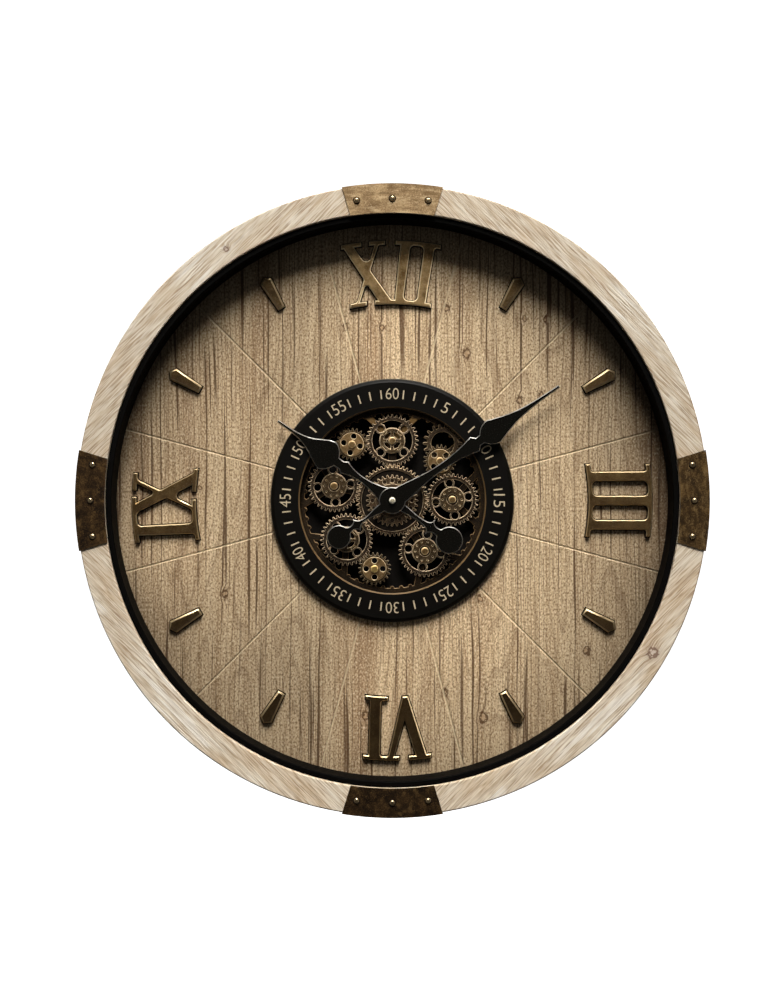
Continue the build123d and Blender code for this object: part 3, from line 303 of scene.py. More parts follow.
# Knots: across and above the axis, and radius
DIAL_KNOTS = [
    (0.072, 0.142, 0.0042), (0.123, 0.097, 0.0036), (0.144, 0.102, 0.0030), (-0.162, -0.090, 0.0034),
    (0.085, -0.095, 0.0032), (0.188, -0.145, 0.0040), (0.088, -0.210, 0.0044), (-0.026, -0.208, 0.0036),
    (0.051, -0.185, 0.0034), (-0.186, 0.012, 0.0022), (0.128, 0.176, 0.0024), (0.148, 0.175, 0.0022),
    (-0.045, 0.168, 0.0030), (-0.010, 0.167, 0.0024), (0.053, 0.186, 0.0028), (-0.003, 0.084, 0.0026),
]
RIM_KNOTS = [(0.246, -0.144, 0.0060), (-0.157, 0.238, 0.0030)]
KNOT_HALO = 2.0
KNOT_SPECKS = 330.0
KNOT_RAGGED = (0.3, 0.7, 0.72, 1.22)
DIAL_KNOT_UPRIGHT = 0.72
RIM_KNOT_UPRIGHT = 1.0
# Closeness to a knot where its stain, its ring of bark and its heart start and are full, and their shares
KNOT_STAIN = (0.05, 0.55, 0.22)
KNOT_RING_OUTSIDE = (0.48, 0.56)
KNOT_RING_INSIDE = (0.76, 0.68)
KNOT_RING_SHARE = 0.85
KNOT_HEART = (0.72, 0.84, 0.6)


def knot_field(tree, point, knots, upright):
    """Highest closeness to any knot: about one at its heart and zero outside its ragged edge."""
    field = None
    for across, above, radius in knots:
        reach = distance(tree, point, across, above, upright)
        closeness = span(tree, reach, 0.0, KNOT_HALO * radius, 1.0, 0.0)
        field = closeness if field is None else maths(tree, "MAXIMUM", field, closeness)
    return product(tree, field, span(tree, noise(tree, point, KNOT_SPECKS, 2.0), *KNOT_RAGGED))


def knotted(tree, tone, knots, bark, heart):
    """A wood tone with a dark ring of bark and a paler heart at each knot."""
    halo = tinted(tree, tone, knots, *KNOT_STAIN, bark)
    ring = product(tree, span(tree, knots, *KNOT_RING_OUTSIDE), span(tree, knots, *KNOT_RING_INSIDE))
    ringed = mix(tree, product(tree, ring, KNOT_RING_SHARE), halo, bark)
    return tinted(tree, ringed, knots, *KNOT_HEART, heart)


# Dial board. Broad zones of its stain and of painted light and shade: across and above the axis, spread, and
# share of the tone
DIAL_STAIN_AND_LIGHT_ZONES = [
    (0.218, 0.078, 0.080, 0.80), (0.146, 0.122, 0.070, 0.86), (0.0, 0.160, 0.070, 1.22),
    (-0.089, 0.127, 0.070, 0.80), (-0.238, -0.045, 0.085, 1.42), (-0.095, -0.165, 0.090, 0.76),
    (-0.020, -0.190, 0.070, 1.18), (0.075, -0.115, 0.105, 1.21),
]
ZONE_UPRIGHT = 0.8
ZONE_HEART = 0.1

# Painted shade, darkening the dial towards the hoop: its radii, its shades, and where it is weaker or
# stronger
EDGE_RADII = (0.13, 0.27)
EDGE_SHADES = [
    (0.0, 1.0), (0.36, 0.97), (0.53, 0.88), (0.66, 0.78),
    (0.76, 0.71), (0.87, 0.60), (0.97, 0.42), (1.0, 0.36),
]
EDGE_LOW = (AXIS_Z - 0.10, AXIS_Z - 0.22, 0.0, 0.55)
EDGE_RIGHT = (0.17, 0.25, 1.0, 0.81)
EDGE_LEFT = (-0.04, -0.18, 1.0, 0.90)

# Grain of the pine: features in a metre along X, Y and Z, detail, roughness
PINE_SWAY = ((11.0, 0.0, 3.0), 2.0)
PINE_PORES = ((640.0, 0.0, 430.0), 1.0, 0.6)
PINE_DRIFT = ((46.0, 0.0, 1.6), 2.0, 0.5)
PINE_GRAIN = {
    "broad": ((20.0, 0.0, 2.0), 3.0, 0.5),
    "streaks": ((110.0, 0.0, 2.6), 5.0, 0.6),
    "fibres": ((520.0, 0.0, 34.0), 2.0, 0.6),
    "lines": ((330.0, 0.0, 5.0), 1.0, 0.5),
    "zones": ((26.0, 0.0, 5.0), 2.0, 0.5),
    "arches": ((22.0, 0.0, 2.4), 1.0, 0.5),
}
PINE_STREAKS = [
    (0.30, srgb(172, 144, 109)), (0.46, srgb(200, 174, 137)), (0.60, srgb(210, 185, 148)),
    (0.78, srgb(219, 196, 160)),
]
# Layers over the streaks: grain, where it starts and is full, share, colour
PINE_LAYERS = [
    ("broad", 0.54, 0.68, 0.62, srgb(146, 112, 80)),
    ("broad", 0.45, 0.32, 0.35, srgb(214, 193, 158)),
    ("fibres", 0.52, 0.70, 0.5, srgb(132, 106, 76)),
    ("pores", 0.50, 0.66, 0.78, srgb(118, 92, 64)),
    ("pores", 0.46, 0.30, 0.7, srgb(236, 217, 183)),
]
PINE_SWAY_WIDTH = 0.014
PINE_KNOT_WIDTH = 0.004
COMBED_ROWS = 270.0
COMBED_DRIFT = 3.4
COMBED_WIDTH = (0.38, 0.49)
COMBED_PLACES = (0.38, 0.54, 0.14, 0.72)
COMBED_BROWN = srgb(112, 84, 58)
LINE_LAYER = (0.595, 0.67, 0.85)
LINE_CUTS = (0.60, 0.70)
LINE_BROWN = srgb(80, 54, 34)
LATE_RINGS = 15.0
LATE_START = (0.70, 0.95)
LATE_END = (1.0, 0.97)
LATE_SHARE = 0.34
LATE_BROWN = srgb(104, 74, 48)
PINE_BARK = srgb(84, 56, 34)
PINE_HEART = srgb(180, 148, 110)
# Painted light in the grooves: a pale tint on their slopes and floors
GROOVE_START = (DIAL_FRONT + 0.0001, DIAL_FRONT + 0.0003, 0.0, 0.5)
GROOVE_END = (DIAL_FRONT + 0.0012, DIAL_FRONT + 0.0010)
GROOVE_PAINTED_LIGHT = srgb(226, 206, 170)
PORE_HEIGHT = -0.5
PINE_RELIEF = (0.5, 0.0004)
PINE_ROUGHNESS = 0.74
WOOD_GLOSS = 0.18


def zoned(tree, point, tone):
    """The dial's tone, lighter or darker in the broad zones of its stain and of painted light and shade."""
    for across, above, spread, share in DIAL_STAIN_AND_LIGHT_ZONES:
        reach = distance(tree, point, across, above, ZONE_UPRIGHT)
        tone = shaded(tree, tone, span(tree, reach, ZONE_HEART * spread, spread, share, 1.0, "SMOOTHSTEP"))
    return tone


def burnt_edge(tree, point, tone):
    """The dial's tone with painted shade, darkened towards the hoop, most on the right and least at the
    bottom.
    """
    stops = [(place, (share, share, share, 1.0)) for place, share in EDGE_SHADES]
    ring = ramp(tree, span(tree, distance(tree, point), *EDGE_RADII), stops)
    across, _, above = split(tree, point)
    ring = mix(tree, span(tree, above, *EDGE_LOW), ring, WHITE)
    sides = product(tree, span(tree, across, *EDGE_LEFT), span(tree, across, *EDGE_RIGHT))
    return shaded(tree, shaded(tree, tone, ring), sides)


def pine_finish(name):
    """Weathered pine with close upright lines, arched late wood, pores and small knots."""
    finish, tree, shader = start_finish(name)
    point = object_point(tree)
    knots = knot_field(tree, point, DIAL_KNOTS, DIAL_KNOT_UPRIGHT)
    sway = product(tree, grain(tree, point, *PINE_SWAY), PINE_SWAY_WIDTH)
    bent = shifted(tree, point, "X", maths(tree, "ADD", sway, product(tree, knots, PINE_KNOT_WIDTH)))
    grains = {kind: grain(tree, bent, *row) for kind, row in PINE_GRAIN.items()}
    grains["pores"] = grain(tree, point, *PINE_PORES)
    tone = ramp(tree, grains["streaks"], PINE_STREAKS)
    for kind, low, high, share, colour in PINE_LAYERS:
        tone = tinted(tree, tone, grains[kind], low, high, share, colour)
    drift = product(tree, grain(tree, point, *PINE_DRIFT), COMBED_DRIFT)
    rows = maths(tree, "ADD", product(tree, split(tree, bent)[0], COMBED_ROWS), drift)
    ridge = maths(tree, "ABSOLUTE", maths(tree, "SUBTRACT", maths(tree, "FRACT", rows), 0.5))
    places = span(tree, grains["zones"], *COMBED_PLACES)
    combed = product(tree, span(tree, ridge, *COMBED_WIDTH), places)
    tone = mix(tree, combed, tone, COMBED_BROWN)
    tone = tinted(tree, tone, grains["lines"], *LINE_LAYER, LINE_BROWN)
    ring = maths(tree, "FRACT", product(tree, grains["arches"], LATE_RINGS))
    late_wood = product(tree, span(tree, ring, *LATE_START), span(tree, ring, *LATE_END))
    tone = mix(tree, product(tree, late_wood, LATE_SHARE), tone, LATE_BROWN)
    tone = knotted(tree, tone, knots, PINE_BARK, PINE_HEART)
    # Painted light in the grooves: a pale tint on their slopes and floors
    depth = split(tree, point)[1]
    grooves = product(tree, span(tree, depth, *GROOVE_START), span(tree, depth, *GROOVE_END))
    tone = mix(tree, grooves, tone, GROOVE_PAINTED_LIGHT)
    connect(tree, zoned(tree, point, burnt_edge(tree, point, tone)), shader.inputs["Base Color"])
    shader.inputs["Roughness"].default_value = PINE_ROUGHNESS
    shader.inputs["Specular IOR Level"].default_value = WOOD_GLOSS
    cuts = maths(tree, "ADD", span(tree, grains["lines"], *LINE_CUTS), combed)
    height = maths(tree, "SUBTRACT", product(tree, grains["pores"], PORE_HEIGHT), cuts)
    relief(tree, height, shader, *PINE_RELIEF)
    return finish


# Grain that is bent round the clock: turns of the noise, and how far it sways across
RING_TURNS = (3.0, 0.0, 3.0)
RING_SWAY = 0.03


def ring_grain(tree, point):
    """Place along the clock's ring and place across it."""
    away = vector_math(tree, "SUBTRACT", point, (0.0, 0.0, AXIS_Z))
    away = vector_math(tree, "MULTIPLY", away, (1.0, 0.0, 1.0))
    around = vector_math(tree, "MULTIPLY", vector_math(tree, "NORMALIZE", away), RING_TURNS)
    across = maths(tree, "ADD", vector_math(tree, "LENGTH", away), split(tree, point)[1])
    return around, maths(tree, "ADD", across, product(tree, noise(tree, around, 1.0, 2.0), RING_SWAY))


# Rim. Grain along the chord of a segment: features in a metre along X, Y and Z, detail, roughness
LIMED_SWAY = ((12.0, 12.0, 30.0), 2.0)
LIMED_GRAIN = {
    "streaks": ((5.0, 5.0, 150.0), 5.0, 0.62),
    "fibres": ((26.0, 26.0, 820.0), 2.0, 0.6),
    "chalk": ((28.6, 28.6, 728.0), 2.0, 0.6),
    "wash": ((10.0, 10.0, 26.0), 3.0, 0.6),
    "pores": ((64.0, 64.0, 1300.0), 1.0, 0.6),
    "strokes": ((9.0, 9.0, 300.0), 2.0, 0.5),
}
LIMED_STREAKS = [
    (0.30, srgb(196, 173, 146)), (0.45, srgb(213, 196, 171)), (0.62, srgb(220, 205, 182)),
    (0.82, srgb(230, 217, 198)),
]
# Layers over the streaks: grain, where it starts and is full, share, colour
LIMED_LAYERS = [
    ("wash", 0.52, 0.36, 0.5, srgb(202, 170, 130)),
    ("fibres", 0.51, 0.66, 0.62, srgb(146, 117, 87)),
    ("pores", 0.52, 0.68, 0.7, srgb(150, 122, 92)),
    ("pores", 0.46, 0.32, 0.45, srgb(245, 235, 217)),
]
LIMED_SWAY_WIDTH = 0.0035
LIMED_KNOT_WIDTH = 0.004
FLECK_WIDTH = (0.49, 0.59)
FLECK_PLACES = (0.46, 0.62, 0.36, 1.0)
FLECK_SHARE = 0.85
FLECK_PALE = srgb(246, 236, 218)
BRUSHED_WIDTH = (0.53, 0.62)
BRUSHED_PLACES = (0.50, 0.59)
BRUSHED_SHARE = 0.45
BRUSHED_WHITE = srgb(250, 246, 238)
LIMED_BARK = srgb(122, 94, 80)
LIMED_HEART = srgb(214, 200, 188)
WALL_GRAIN = 420.0
WALL_LAYER = (0.55, 0.25, 0.82)
WALL_TONES = [(0.30, srgb(158, 130, 99)), (0.50, srgb(200, 179, 150)), (0.72, srgb(226, 212, 190))]
# Painted shade of the rim: darker towards its top, a little lighter at its bottom
LIMED_HEIGHT_SHADE = (AXIS_Z - 0.24, AXIS_Z + 0.04, 1.04, 0.80)
# Painted shade: a thin dark line along the rim's outer front edge, strongest at the lower right
RIM_EDGE_SHADE_SIDE = (-AXIS_Z - 0.15, -AXIS_Z + 0.25, 0.12, 0.75)
RIM_EDGE_SHADE_RADII = (0.2972, 0.2983)
RIM_EDGE_SHADE_FACES = (0.5, 0.9)
RIM_EDGE_SHADE_BROWN = srgb(84, 64, 44)
LIMED_RELIEF = (0.45, 0.0004)
LIMED_ROUGHNESS = 0.78


def limed_finish(name, angle):
    """Limewashed wood with its grain along the chord of one rim segment."""
    finish, tree, shader = start_finish(name)
    point = object_point(tree)
    turned = turned_point(tree, point, angle)
    knots = knot_field(tree, point, RIM_KNOTS, RIM_KNOT_UPRIGHT)
    sway = product(tree, grain(tree, turned, *LIMED_SWAY), LIMED_SWAY_WIDTH)
    bent = shifted(tree, turned, "Z", maths(tree, "ADD", sway, product(tree, knots, LIMED_KNOT_WIDTH)))
    grains = {kind: grain(tree, bent, *row) for kind, row in LIMED_GRAIN.items()}
    tone = ramp(tree, grains["streaks"], LIMED_STREAKS)
    for kind, low, high, share, colour in LIMED_LAYERS:
        tone = tinted(tree, tone, grains[kind], low, high, share, colour)
    washed = span(tree, grains["wash"], *FLECK_PLACES)
    flecks = product(tree, span(tree, grains["chalk"], *FLECK_WIDTH), washed)
    tone = mix(tree, product(tree, flecks, FLECK_SHARE), tone, FLECK_PALE)
    strokes = span(tree, grains["strokes"], *BRUSHED_WIDTH)
    brushed = product(tree, strokes, span(tree, grains["wash"], *BRUSHED_PLACES))
    tone = mix(tree, product(tree, brushed, BRUSHED_SHARE), tone, BRUSHED_WHITE)
    tone = knotted(tree, tone, knots, LIMED_BARK, LIMED_HEART)
    around, across = ring_grain(tree, point)
    wall_grain = noise(tree, shifted(tree, around, "Y", product(tree, across, WALL_GRAIN)), 1.0, 4.0, 0.62)
    tone = tinted(tree, tone, facing_room(tree), *WALL_LAYER, ramp(tree, wall_grain, WALL_TONES))
    beside, _, above = split(tree, point)
    # Painted shade of the rim: darker towards its top, a little lighter at its bottom
    tone = shaded(tree, tone, span(tree, above, *LIMED_HEIGHT_SHADE))
    # Painted shade: a thin dark line along the rim's outer front edge, strongest at the lower right
    rim_edge_shade = span(tree, maths(tree, "SUBTRACT", beside, above), *RIM_EDGE_SHADE_SIDE)
    rim_edge_shade = product(tree, rim_edge_shade, span(tree, distance(tree, point), *RIM_EDGE_SHADE_RADII))
    rim_edge_shade = product(tree, rim_edge_shade, span(tree, facing_room(tree), *RIM_EDGE_SHADE_FACES))
    connect(tree, mix(tree, rim_edge_shade, tone, RIM_EDGE_SHADE_BROWN), shader.inputs["Base Color"])
    shader.inputs["Roughness"].default_value = LIMED_ROUGHNESS
    shader.inputs["Specular IOR Level"].default_value = WOOD_GLOSS
    relief(tree, maths(tree, "SUBTRACT", flecks, grains["fibres"]), shader, *LIMED_RELIEF)
    return finish


# Case ring
STAIN_GRAIN = 190.0
STAIN_PORES = 900.0
STAIN_PORE_TURNS = (14.0, 0.0, 14.0)
STAIN_TONES = [(0.3, srgb(88, 66, 47)), (0.5, srgb(126, 99, 72)), (0.75, srgb(150, 122, 92))]
STAIN_PORE_LAYER = (0.56, 0.68, 0.55)
STAIN_DARK = srgb(74, 54, 37)
STAIN_RELIEF = (0.2, 0.0003)
STAIN_ROUGHNESS = 0.7


def stained_finish(name):
    """Stained wood of the case ring, with its grain bent round the ring."""
    finish, tree, shader = start_finish(name)
    around, across = ring_grain(tree, object_point(tree))
    fibres = noise(tree, shifted(tree, around, "Y", product(tree, across, STAIN_GRAIN)), 1.0, 5.0, 0.62)
    close = vector_math(tree, "MULTIPLY", around, STAIN_PORE_TURNS)
    pores = noise(tree, shifted(tree, close, "Y", product(tree, across, STAIN_PORES)), 1.0, 1.0, 0.6)
    tone = tinted(tree, ramp(tree, fibres, STAIN_TONES), pores, *STAIN_PORE_LAYER, STAIN_DARK)
    connect(tree, tone, shader.inputs["Base Color"])
    shader.inputs["Roughness"].default_value = STAIN_ROUGHNESS
    relief(tree, fibres, shader, *STAIN_RELIEF)
    return finish


# Bronze: where its patches, specks, painted shade on its walls, and worn edges that are partly a painted
# highlight start and are full, and their shares
SPECKS_TO_A_PATCH = 14
PATCH_TONES = (0.36, 0.66)
DARK_SPECKS = (0.52, 0.66)
BRIGHT_SPECKS = (0.46, 0.34)
BRIGHT_SHARE = 0.6
WALL_SHADE = (0.35, 0.1, 0.7)
WALL_PAINTED_SHADE = (0.008, 0.006, 0.004, 1.0)
RUBBED_HIGHLIGHT_PATCHES = (0.3, 0.5, 0.7, 1.0)
POLISH_RANGE = (0.3, 0.7)
BRONZE_DULL = 0.07
BRONZE_BRIGHT = 0.05
BRONZE_RELIEF = (0.1, 0.0003)

# Wheels and straps: metallic, patches in a metre, speckle; streaks of the straps
WHEEL_METAL = (0.85, 140.0)
DEPTH_PAINTED_SHADE = (0.010, 0.007, 0.004, 1.0)
SKELETON_BRONZE = (srgb(26, 20, 13), srgb(50, 38, 24), srgb(120, 94, 58), 0.45, 0.85, 90.0)
STRAP_PATCHES = (60.0, 0.8)
STREAK_DETAIL = (5.0, 0.65)
DARK_STREAKS = (0.50, 0.64, 0.75)
BRIGHT_STREAKS = (0.46, 0.34, 0.5)
ARM_HEIGHT = (AXIS_Z + 0.052, AXIS_Z + 0.064)
ARM_WIDTH = (0.050, 0.040)
ARM_REACH = (0.0835, 0.0815)
ARM_FACES = (0.9, 0.98, 0.0, 0.85)
ARM_BROWN = srgb(138, 108, 66)

# Numerals, hands and chapter ring
NUMERAL_METAL = (0.42, 0.9, 60.0, 0.25)
# Painted shade of the numerals and markers towards the bottom of the dial
NUMERAL_SHADE_HEIGHT = (AXIS_Z + 0.06, AXIS_Z - 0.2, 0.0, 0.6)
NUMERAL_PAINTED_SHADE = srgb(44, 30, 14)
NUMERAL_EDGE = srgb(206, 182, 140)
LACQUER_SPECKS = 900.0
LACQUER_TONES = (srgb(8, 7, 4), srgb(13, 11, 7))
LACQUER_WORN = srgb(196, 193, 186)
LACQUER_BRIGHT = 0.04
LACQUER_DULL = 0.05
LACQUER_WORN_DULL = 0.16
LACQUER_GLOSS = 0.3
CHAPTER_PAINT = (srgb(8, 6, 3), 0.5, 700.0, 0.12)
# Painted highlights of the chapter ring: along its inner edge by height, and along its outer corner
CHAPTER_RUBBED_HIGHLIGHT = (-0.07, 0.07, 0.55, 0.22)
CHAPTER_INSIDE = (0.0915, 0.0910)
CHAPTER_CORNER = (0.1168, 0.1171, 0.0, 0.25)
CHAPTER_BRONZE = srgb(150, 120, 80)
CHAPTER_WORN_HIGHLIGHT = srgb(150, 140, 120)
PAINT_SPECKS = (0.35, 0.7)
PAINT_DARK_SHARE = 0.7
PAINT_BRIGHT = 0.05
PAINT_DULL = 0.08
PAINT_RELIEF = (0.05, 0.0002)


def bronze_finish(
    name, dark, light, edge, roughness=0.45, metallic=0.85, patch_scale=45.0, speckle=0.35, shine=0.35
):
    """Aged bronze: two tones in patches on its faces, painted shade on its walls, and edges worn bright that
    are partly a painted highlight.
    """
    finish, tree, shader = start_finish(name)
    point = object_point(tree)
    patches = noise(tree, point, patch_scale, 5.0, 0.62)
    specks = noise(tree, point, patch_scale * SPECKS_TO_A_PATCH, 3.0, 0.6)
    tone = mix(tree, span(tree, patches, *PATCH_TONES), dark, light)
    tone = tinted(tree, tone, specks, *DARK_SPECKS, speckle, dark)
    tone = tinted(tree, tone, specks, *BRIGHT_SPECKS, BRIGHT_SHARE * speckle, edge)
    # Painted shade: the walls darken
    tone = tinted(tree, tone, facing_room(tree), *WALL_SHADE, WALL_PAINTED_SHADE)
    # Worn edges, partly a painted highlight: a pale, less metallic colour along the eased edges
    rubbed_highlight = product(tree, eased_edges(tree), span(tree, patches, *RUBBED_HIGHLIGHT_PATCHES))
    connect(tree, mix(tree, rubbed_highlight, tone, edge), shader.inputs["Base Color"])
    connect(tree, span(tree, rubbed_highlight, 0.0, 1.0, metallic, shine * metallic), shader.inputs["Metallic"])
    polish = span(tree, patches, *POLISH_RANGE, roughness + BRONZE_DULL, roughness - BRONZE_BRIGHT)
    connect(tree, polish, shader.inputs["Roughness"])
    relief(tree, specks, shader, *BRONZE_RELIEF)
    return finish


def wheel_finish(name, dark, light, edge, front, fade, roughness=0.42):
    """Bronze of a wheel whose faces darken with their depth behind its front: painted shade in its recesses.
    """
    finish = bronze_finish(name, dark, light, edge, roughness, *WHEEL_METAL)
    tree, shader, tone = base_tone(finish)
    start, end, share = fade
    depth = split(tree, object_point(tree))[1]
    # Painted shade, deeper behind the wheel's front
    tone = tinted(tree, tone, depth, front + start, front + end, share, DEPTH_PAINTED_SHADE)
    connect(tree, tone, shader.inputs["Base Color"])
    return finish


def skeleton_finish(name):
    """Blackened bronze of the back wheel, with browner arms at its top."""
    finish = bronze_finish(name, *SKELETON_BRONZE)
    tree, shader, tone = base_tone(finish)
    point = object_point(tree)
    across, _, above = split(tree, point)
    middle = span(tree, maths(tree, "ABSOLUTE", across), *ARM_WIDTH)
    inside = product(tree, middle, span(tree, distance(tree, point), *ARM_REACH))
    faces = product(tree, inside, span(tree, facing_room(tree), *ARM_FACES))
    arms = product(tree, span(tree, above, *ARM_HEIGHT), faces)
    connect(tree, mix(tree, arms, tone, ARM_BROWN), shader.inputs["Base Color"])
    return finish


def strap_finish(name, dark, light, edge, stretch, roughness=0.5, metallic=0.8):
    """Bronze of a rim strap, with dark streaks along it."""
    finish = bronze_finish(name, dark, light, edge, roughness, metallic, *STRAP_PATCHES)
    tree, shader, tone = base_tone(finish)
    streaks = grain(tree, object_point(tree), stretch, *STREAK_DETAIL)
    tone = tinted(tree, tone, streaks, *DARK_STREAKS, dark)
    connect(tree, tinted(tree, tone, streaks, *BRIGHT_STREAKS, edge), shader.inputs["Base Color"])
    return finish


def patina_finish(name, dark, light, edge=NUMERAL_EDGE, shine=1.0):
    """Bronze of the numerals and hour markers, with painted shade that darkens them towards the bottom of the
    dial.
    """
    finish = bronze_finish(name, dark, light, edge, *NUMERAL_METAL, shine)
    tree, shader, tone = base_tone(finish)
    # Painted shade: the faces darken towards the bottom of the dial
    faces = maths(tree, "SUBTRACT", 1.0, eased_edges(tree))
    lower = product(tree, faces, span(tree, split(tree, object_point(tree))[2], *NUMERAL_SHADE_HEIGHT))
    connect(tree, mix(tree, lower, tone, NUMERAL_PAINTED_SHADE), shader.inputs["Base Color"])
    return finish


def lacquer_finish(name, roughness):
    """Black lacquer over metal, worn through to bright metal along the eased edges."""
    finish, tree, shader = start_finish(name)
    specks = noise(tree, object_point(tree), LACQUER_SPECKS, 3.0, 0.6)
    worn = eased_edges(tree)
    paint = mix(tree, span(tree, specks, *PAINT_SPECKS), *LACQUER_TONES)
    connect(tree, mix(tree, worn, paint, LACQUER_WORN), shader.inputs["Base Color"])
    connect(tree, worn, shader.inputs["Metallic"])
    polish = span(tree, specks, *POLISH_RANGE, roughness - LACQUER_BRIGHT, roughness + LACQUER_DULL)
    worn_dull = product(tree, worn, LACQUER_WORN_DULL)
    connect(tree, maths(tree, "ADD", polish, worn_dull), shader.inputs["Roughness"])
    shader.inputs["Specular IOR Level"].default_value = LACQUER_GLOSS
    return finish


def paint_finish(name, colour, roughness, speckle, gloss=0.4):
    """Painted or moulded surface with a faint grain in its gloss."""
    finish, tree, shader = start_finish(name)
    specks = noise(tree, object_point(tree), speckle, 3.0, 0.6)
    dark = (*(PAINT_DARK_SHARE * part for part in colour[:3]), 1.0)
    connect(tree, mix(tree, span(tree, specks, *PAINT_SPECKS), dark, colour), shader.inputs["Base Color"])
    polish = span(tree, specks, *POLISH_RANGE, roughness - PAINT_BRIGHT, roughness + PAINT_DULL)
    connect(tree, polish, shader.inputs["Roughness"])
    shader.inputs["Specular IOR Level"].default_value = gloss
    relief(tree, specks, shader, *PAINT_RELIEF)
    return finish


def chapter_finish(name):
    """Black paint of the chapter ring, with painted highlights: bronze along its inner edge, stronger towards
    the bottom, and a pale line along its outer corner.
    """
    finish = paint_finish(name, *CHAPTER_PAINT)
    tree, shader, tone = base_tone(finish)
    point = object_point(tree)
    reach = distance(tree, point)
    sloping = eased_edges(tree)
    above = maths(tree, "SUBTRACT", split(tree, point)[2], AXIS_Z)
    # Painted highlight along the inner edge, stronger towards the bottom
    rubbed_highlight = product(tree, sloping, span(tree, above, *CHAPTER_RUBBED_HIGHLIGHT))
    inside = product(tree, rubbed_highlight, span(tree, reach, *CHAPTER_INSIDE))
    # Painted highlight along the outer corner
    corner = product(tree, sloping, span(tree, reach, *CHAPTER_CORNER))
    tone = mix(tree, inside, tone, CHAPTER_BRONZE)
    connect(tree, mix(tree, corner, tone, CHAPTER_WORN_HIGHLIGHT), shader.inputs["Base Color"])
    return finish


# Metals: dark, light and worn edge colour that is partly a painted highlight, roughness, metallic, patches in
# a metre, speckle, shine of the edge
METALS = {
    "rivet_bronze": (srgb(120, 100, 70), srgb(196, 172, 130), srgb(206, 184, 144), 0.26, 0.9, 45.0, 0.2, 1.0),
    "hub_brass": (srgb(34, 25, 15), srgb(84, 65, 42), srgb(226, 199, 156), 0.40, 0.9, 260.0, 0.5),
    "stud_brass": (srgb(104, 80, 48), srgb(168, 136, 90), srgb(214, 184, 134), 0.3, 0.95, 200.0),
    "nut_bright": (srgb(196, 184, 150), srgb(236, 226, 196), srgb(240, 232, 208), 0.26, 0.6, 300.0),
    "hanger_zinc": (srgb(150, 152, 154), srgb(196, 198, 200), srgb(206, 208, 210), 0.36, 0.95, 90.0),
    "motor_steel": (srgb(140, 142, 144), srgb(186, 188, 190), srgb(200, 202, 204), 0.34, 0.95, 120.0),
    "movement_brass": (srgb(170, 138, 78), srgb(214, 182, 112), srgb(224, 192, 124), 0.3, 0.95, 160.0),
    "coil_copper": (srgb(150, 74, 38), srgb(198, 108, 62), srgb(206, 120, 72), 0.35, 0.9, 400.0),
}
# Wheels: dark, light and worn edge colour that is partly a painted highlight, front, depths between which
# painted shade darkens it and the share, roughness
WHEELS = {
    "satellite_bronze": (
        srgb(26, 20, 13), srgb(62, 48, 33), srgb(216, 190, 154), WHEEL_FRONT, (0.0002, 0.0012, 0.85),
    ),
    "centre_bronze": (
        srgb(34, 26, 18), srgb(72, 56, 39), srgb(212, 186, 148), WHEEL_FRONT, (0.0004, 0.0020, 0.9),
    ),
    "top_wheel_bronze": (
        srgb(48, 37, 25), srgb(96, 75, 52), srgb(212, 186, 148), TOP_WHEEL_FRONT, (0.0006, 0.0028, 0.9),
    ),
    "small_brass": (
        srgb(92, 71, 43), srgb(154, 123, 81), srgb(226, 200, 158), SMALL_FRONT, (0.0003, 0.0007, 0.72), 0.36,
    ),
    "coarse_bronze": (
        srgb(40, 31, 22), srgb(74, 58, 40), srgb(190, 164, 126), COARSE_FRONT, (0.0002, 0.0010, 0.85),
    ),
}
# Straps: dark, light and worn edge colour that is partly a painted highlight, streaks in a metre along X, Y
# and Z, roughness, metallic
STRAPS = {
    "strap_bronze": (srgb(34, 22, 11), srgb(92, 68, 40), srgb(132, 102, 62), (150.0, 60.0, 150.0)),
    # Lighter copies of the strap bronze for the right and the top strap: painted light
    "strap_warm": (srgb(48, 33, 15), srgb(126, 97, 58), srgb(164, 134, 88), (230.0, 60.0, 110.0)),
    "strap_light": (
        srgb(120, 94, 62), srgb(196, 166, 123), srgb(222, 198, 156), (60.0, 60.0, 280.0), 0.52, 0.7,
    ),
}
# Numerals and markers: dark and light, worn edge colour that is partly a painted highlight, and its shine
NUMERAL_BRONZES = {
    "numeral_bronze": (srgb(92, 70, 43), srgb(148, 119, 77)),
    # A lighter copy of the numeral bronze for the twelve, with paler edges: painted light
    "twelve_bronze": (srgb(112, 86, 52), srgb(206, 172, 120), srgb(236, 214, 170), 0.2),
    "marker_bronze": (srgb(78, 60, 38), srgb(128, 102, 66)),
}
# Paints and plastics: colour, roughness, specks in a metre, gloss
PAINTS = {
    # Paint of the dark lines that are painted shade
    "seat_dark": (srgb(34, 24, 15), 0.8, 600.0, 0.1),
    "hoop_black": (srgb(9, 8, 7), 0.62, 500.0, 0.03),
    "well_black": (srgb(17, 14, 11), 0.7, 500.0, 0.08),
    "case_plastic": (srgb(34, 34, 35), 0.5, 800.0),
    "setting_plastic": (srgb(214, 210, 198), 0.4, 800.0),
    "board_green": (srgb(40, 104, 62), 0.45, 900.0),
    "cell_jacket": (srgb(66, 72, 84), 0.3, 600.0),
    "print_cream": (srgb(206, 188, 156), 0.6, 900.0, 0.2),
}
GRAIN_RISING = radians(45)
GRAIN_FALLING = radians(-45)
HAND_ROUGHNESS = 0.24

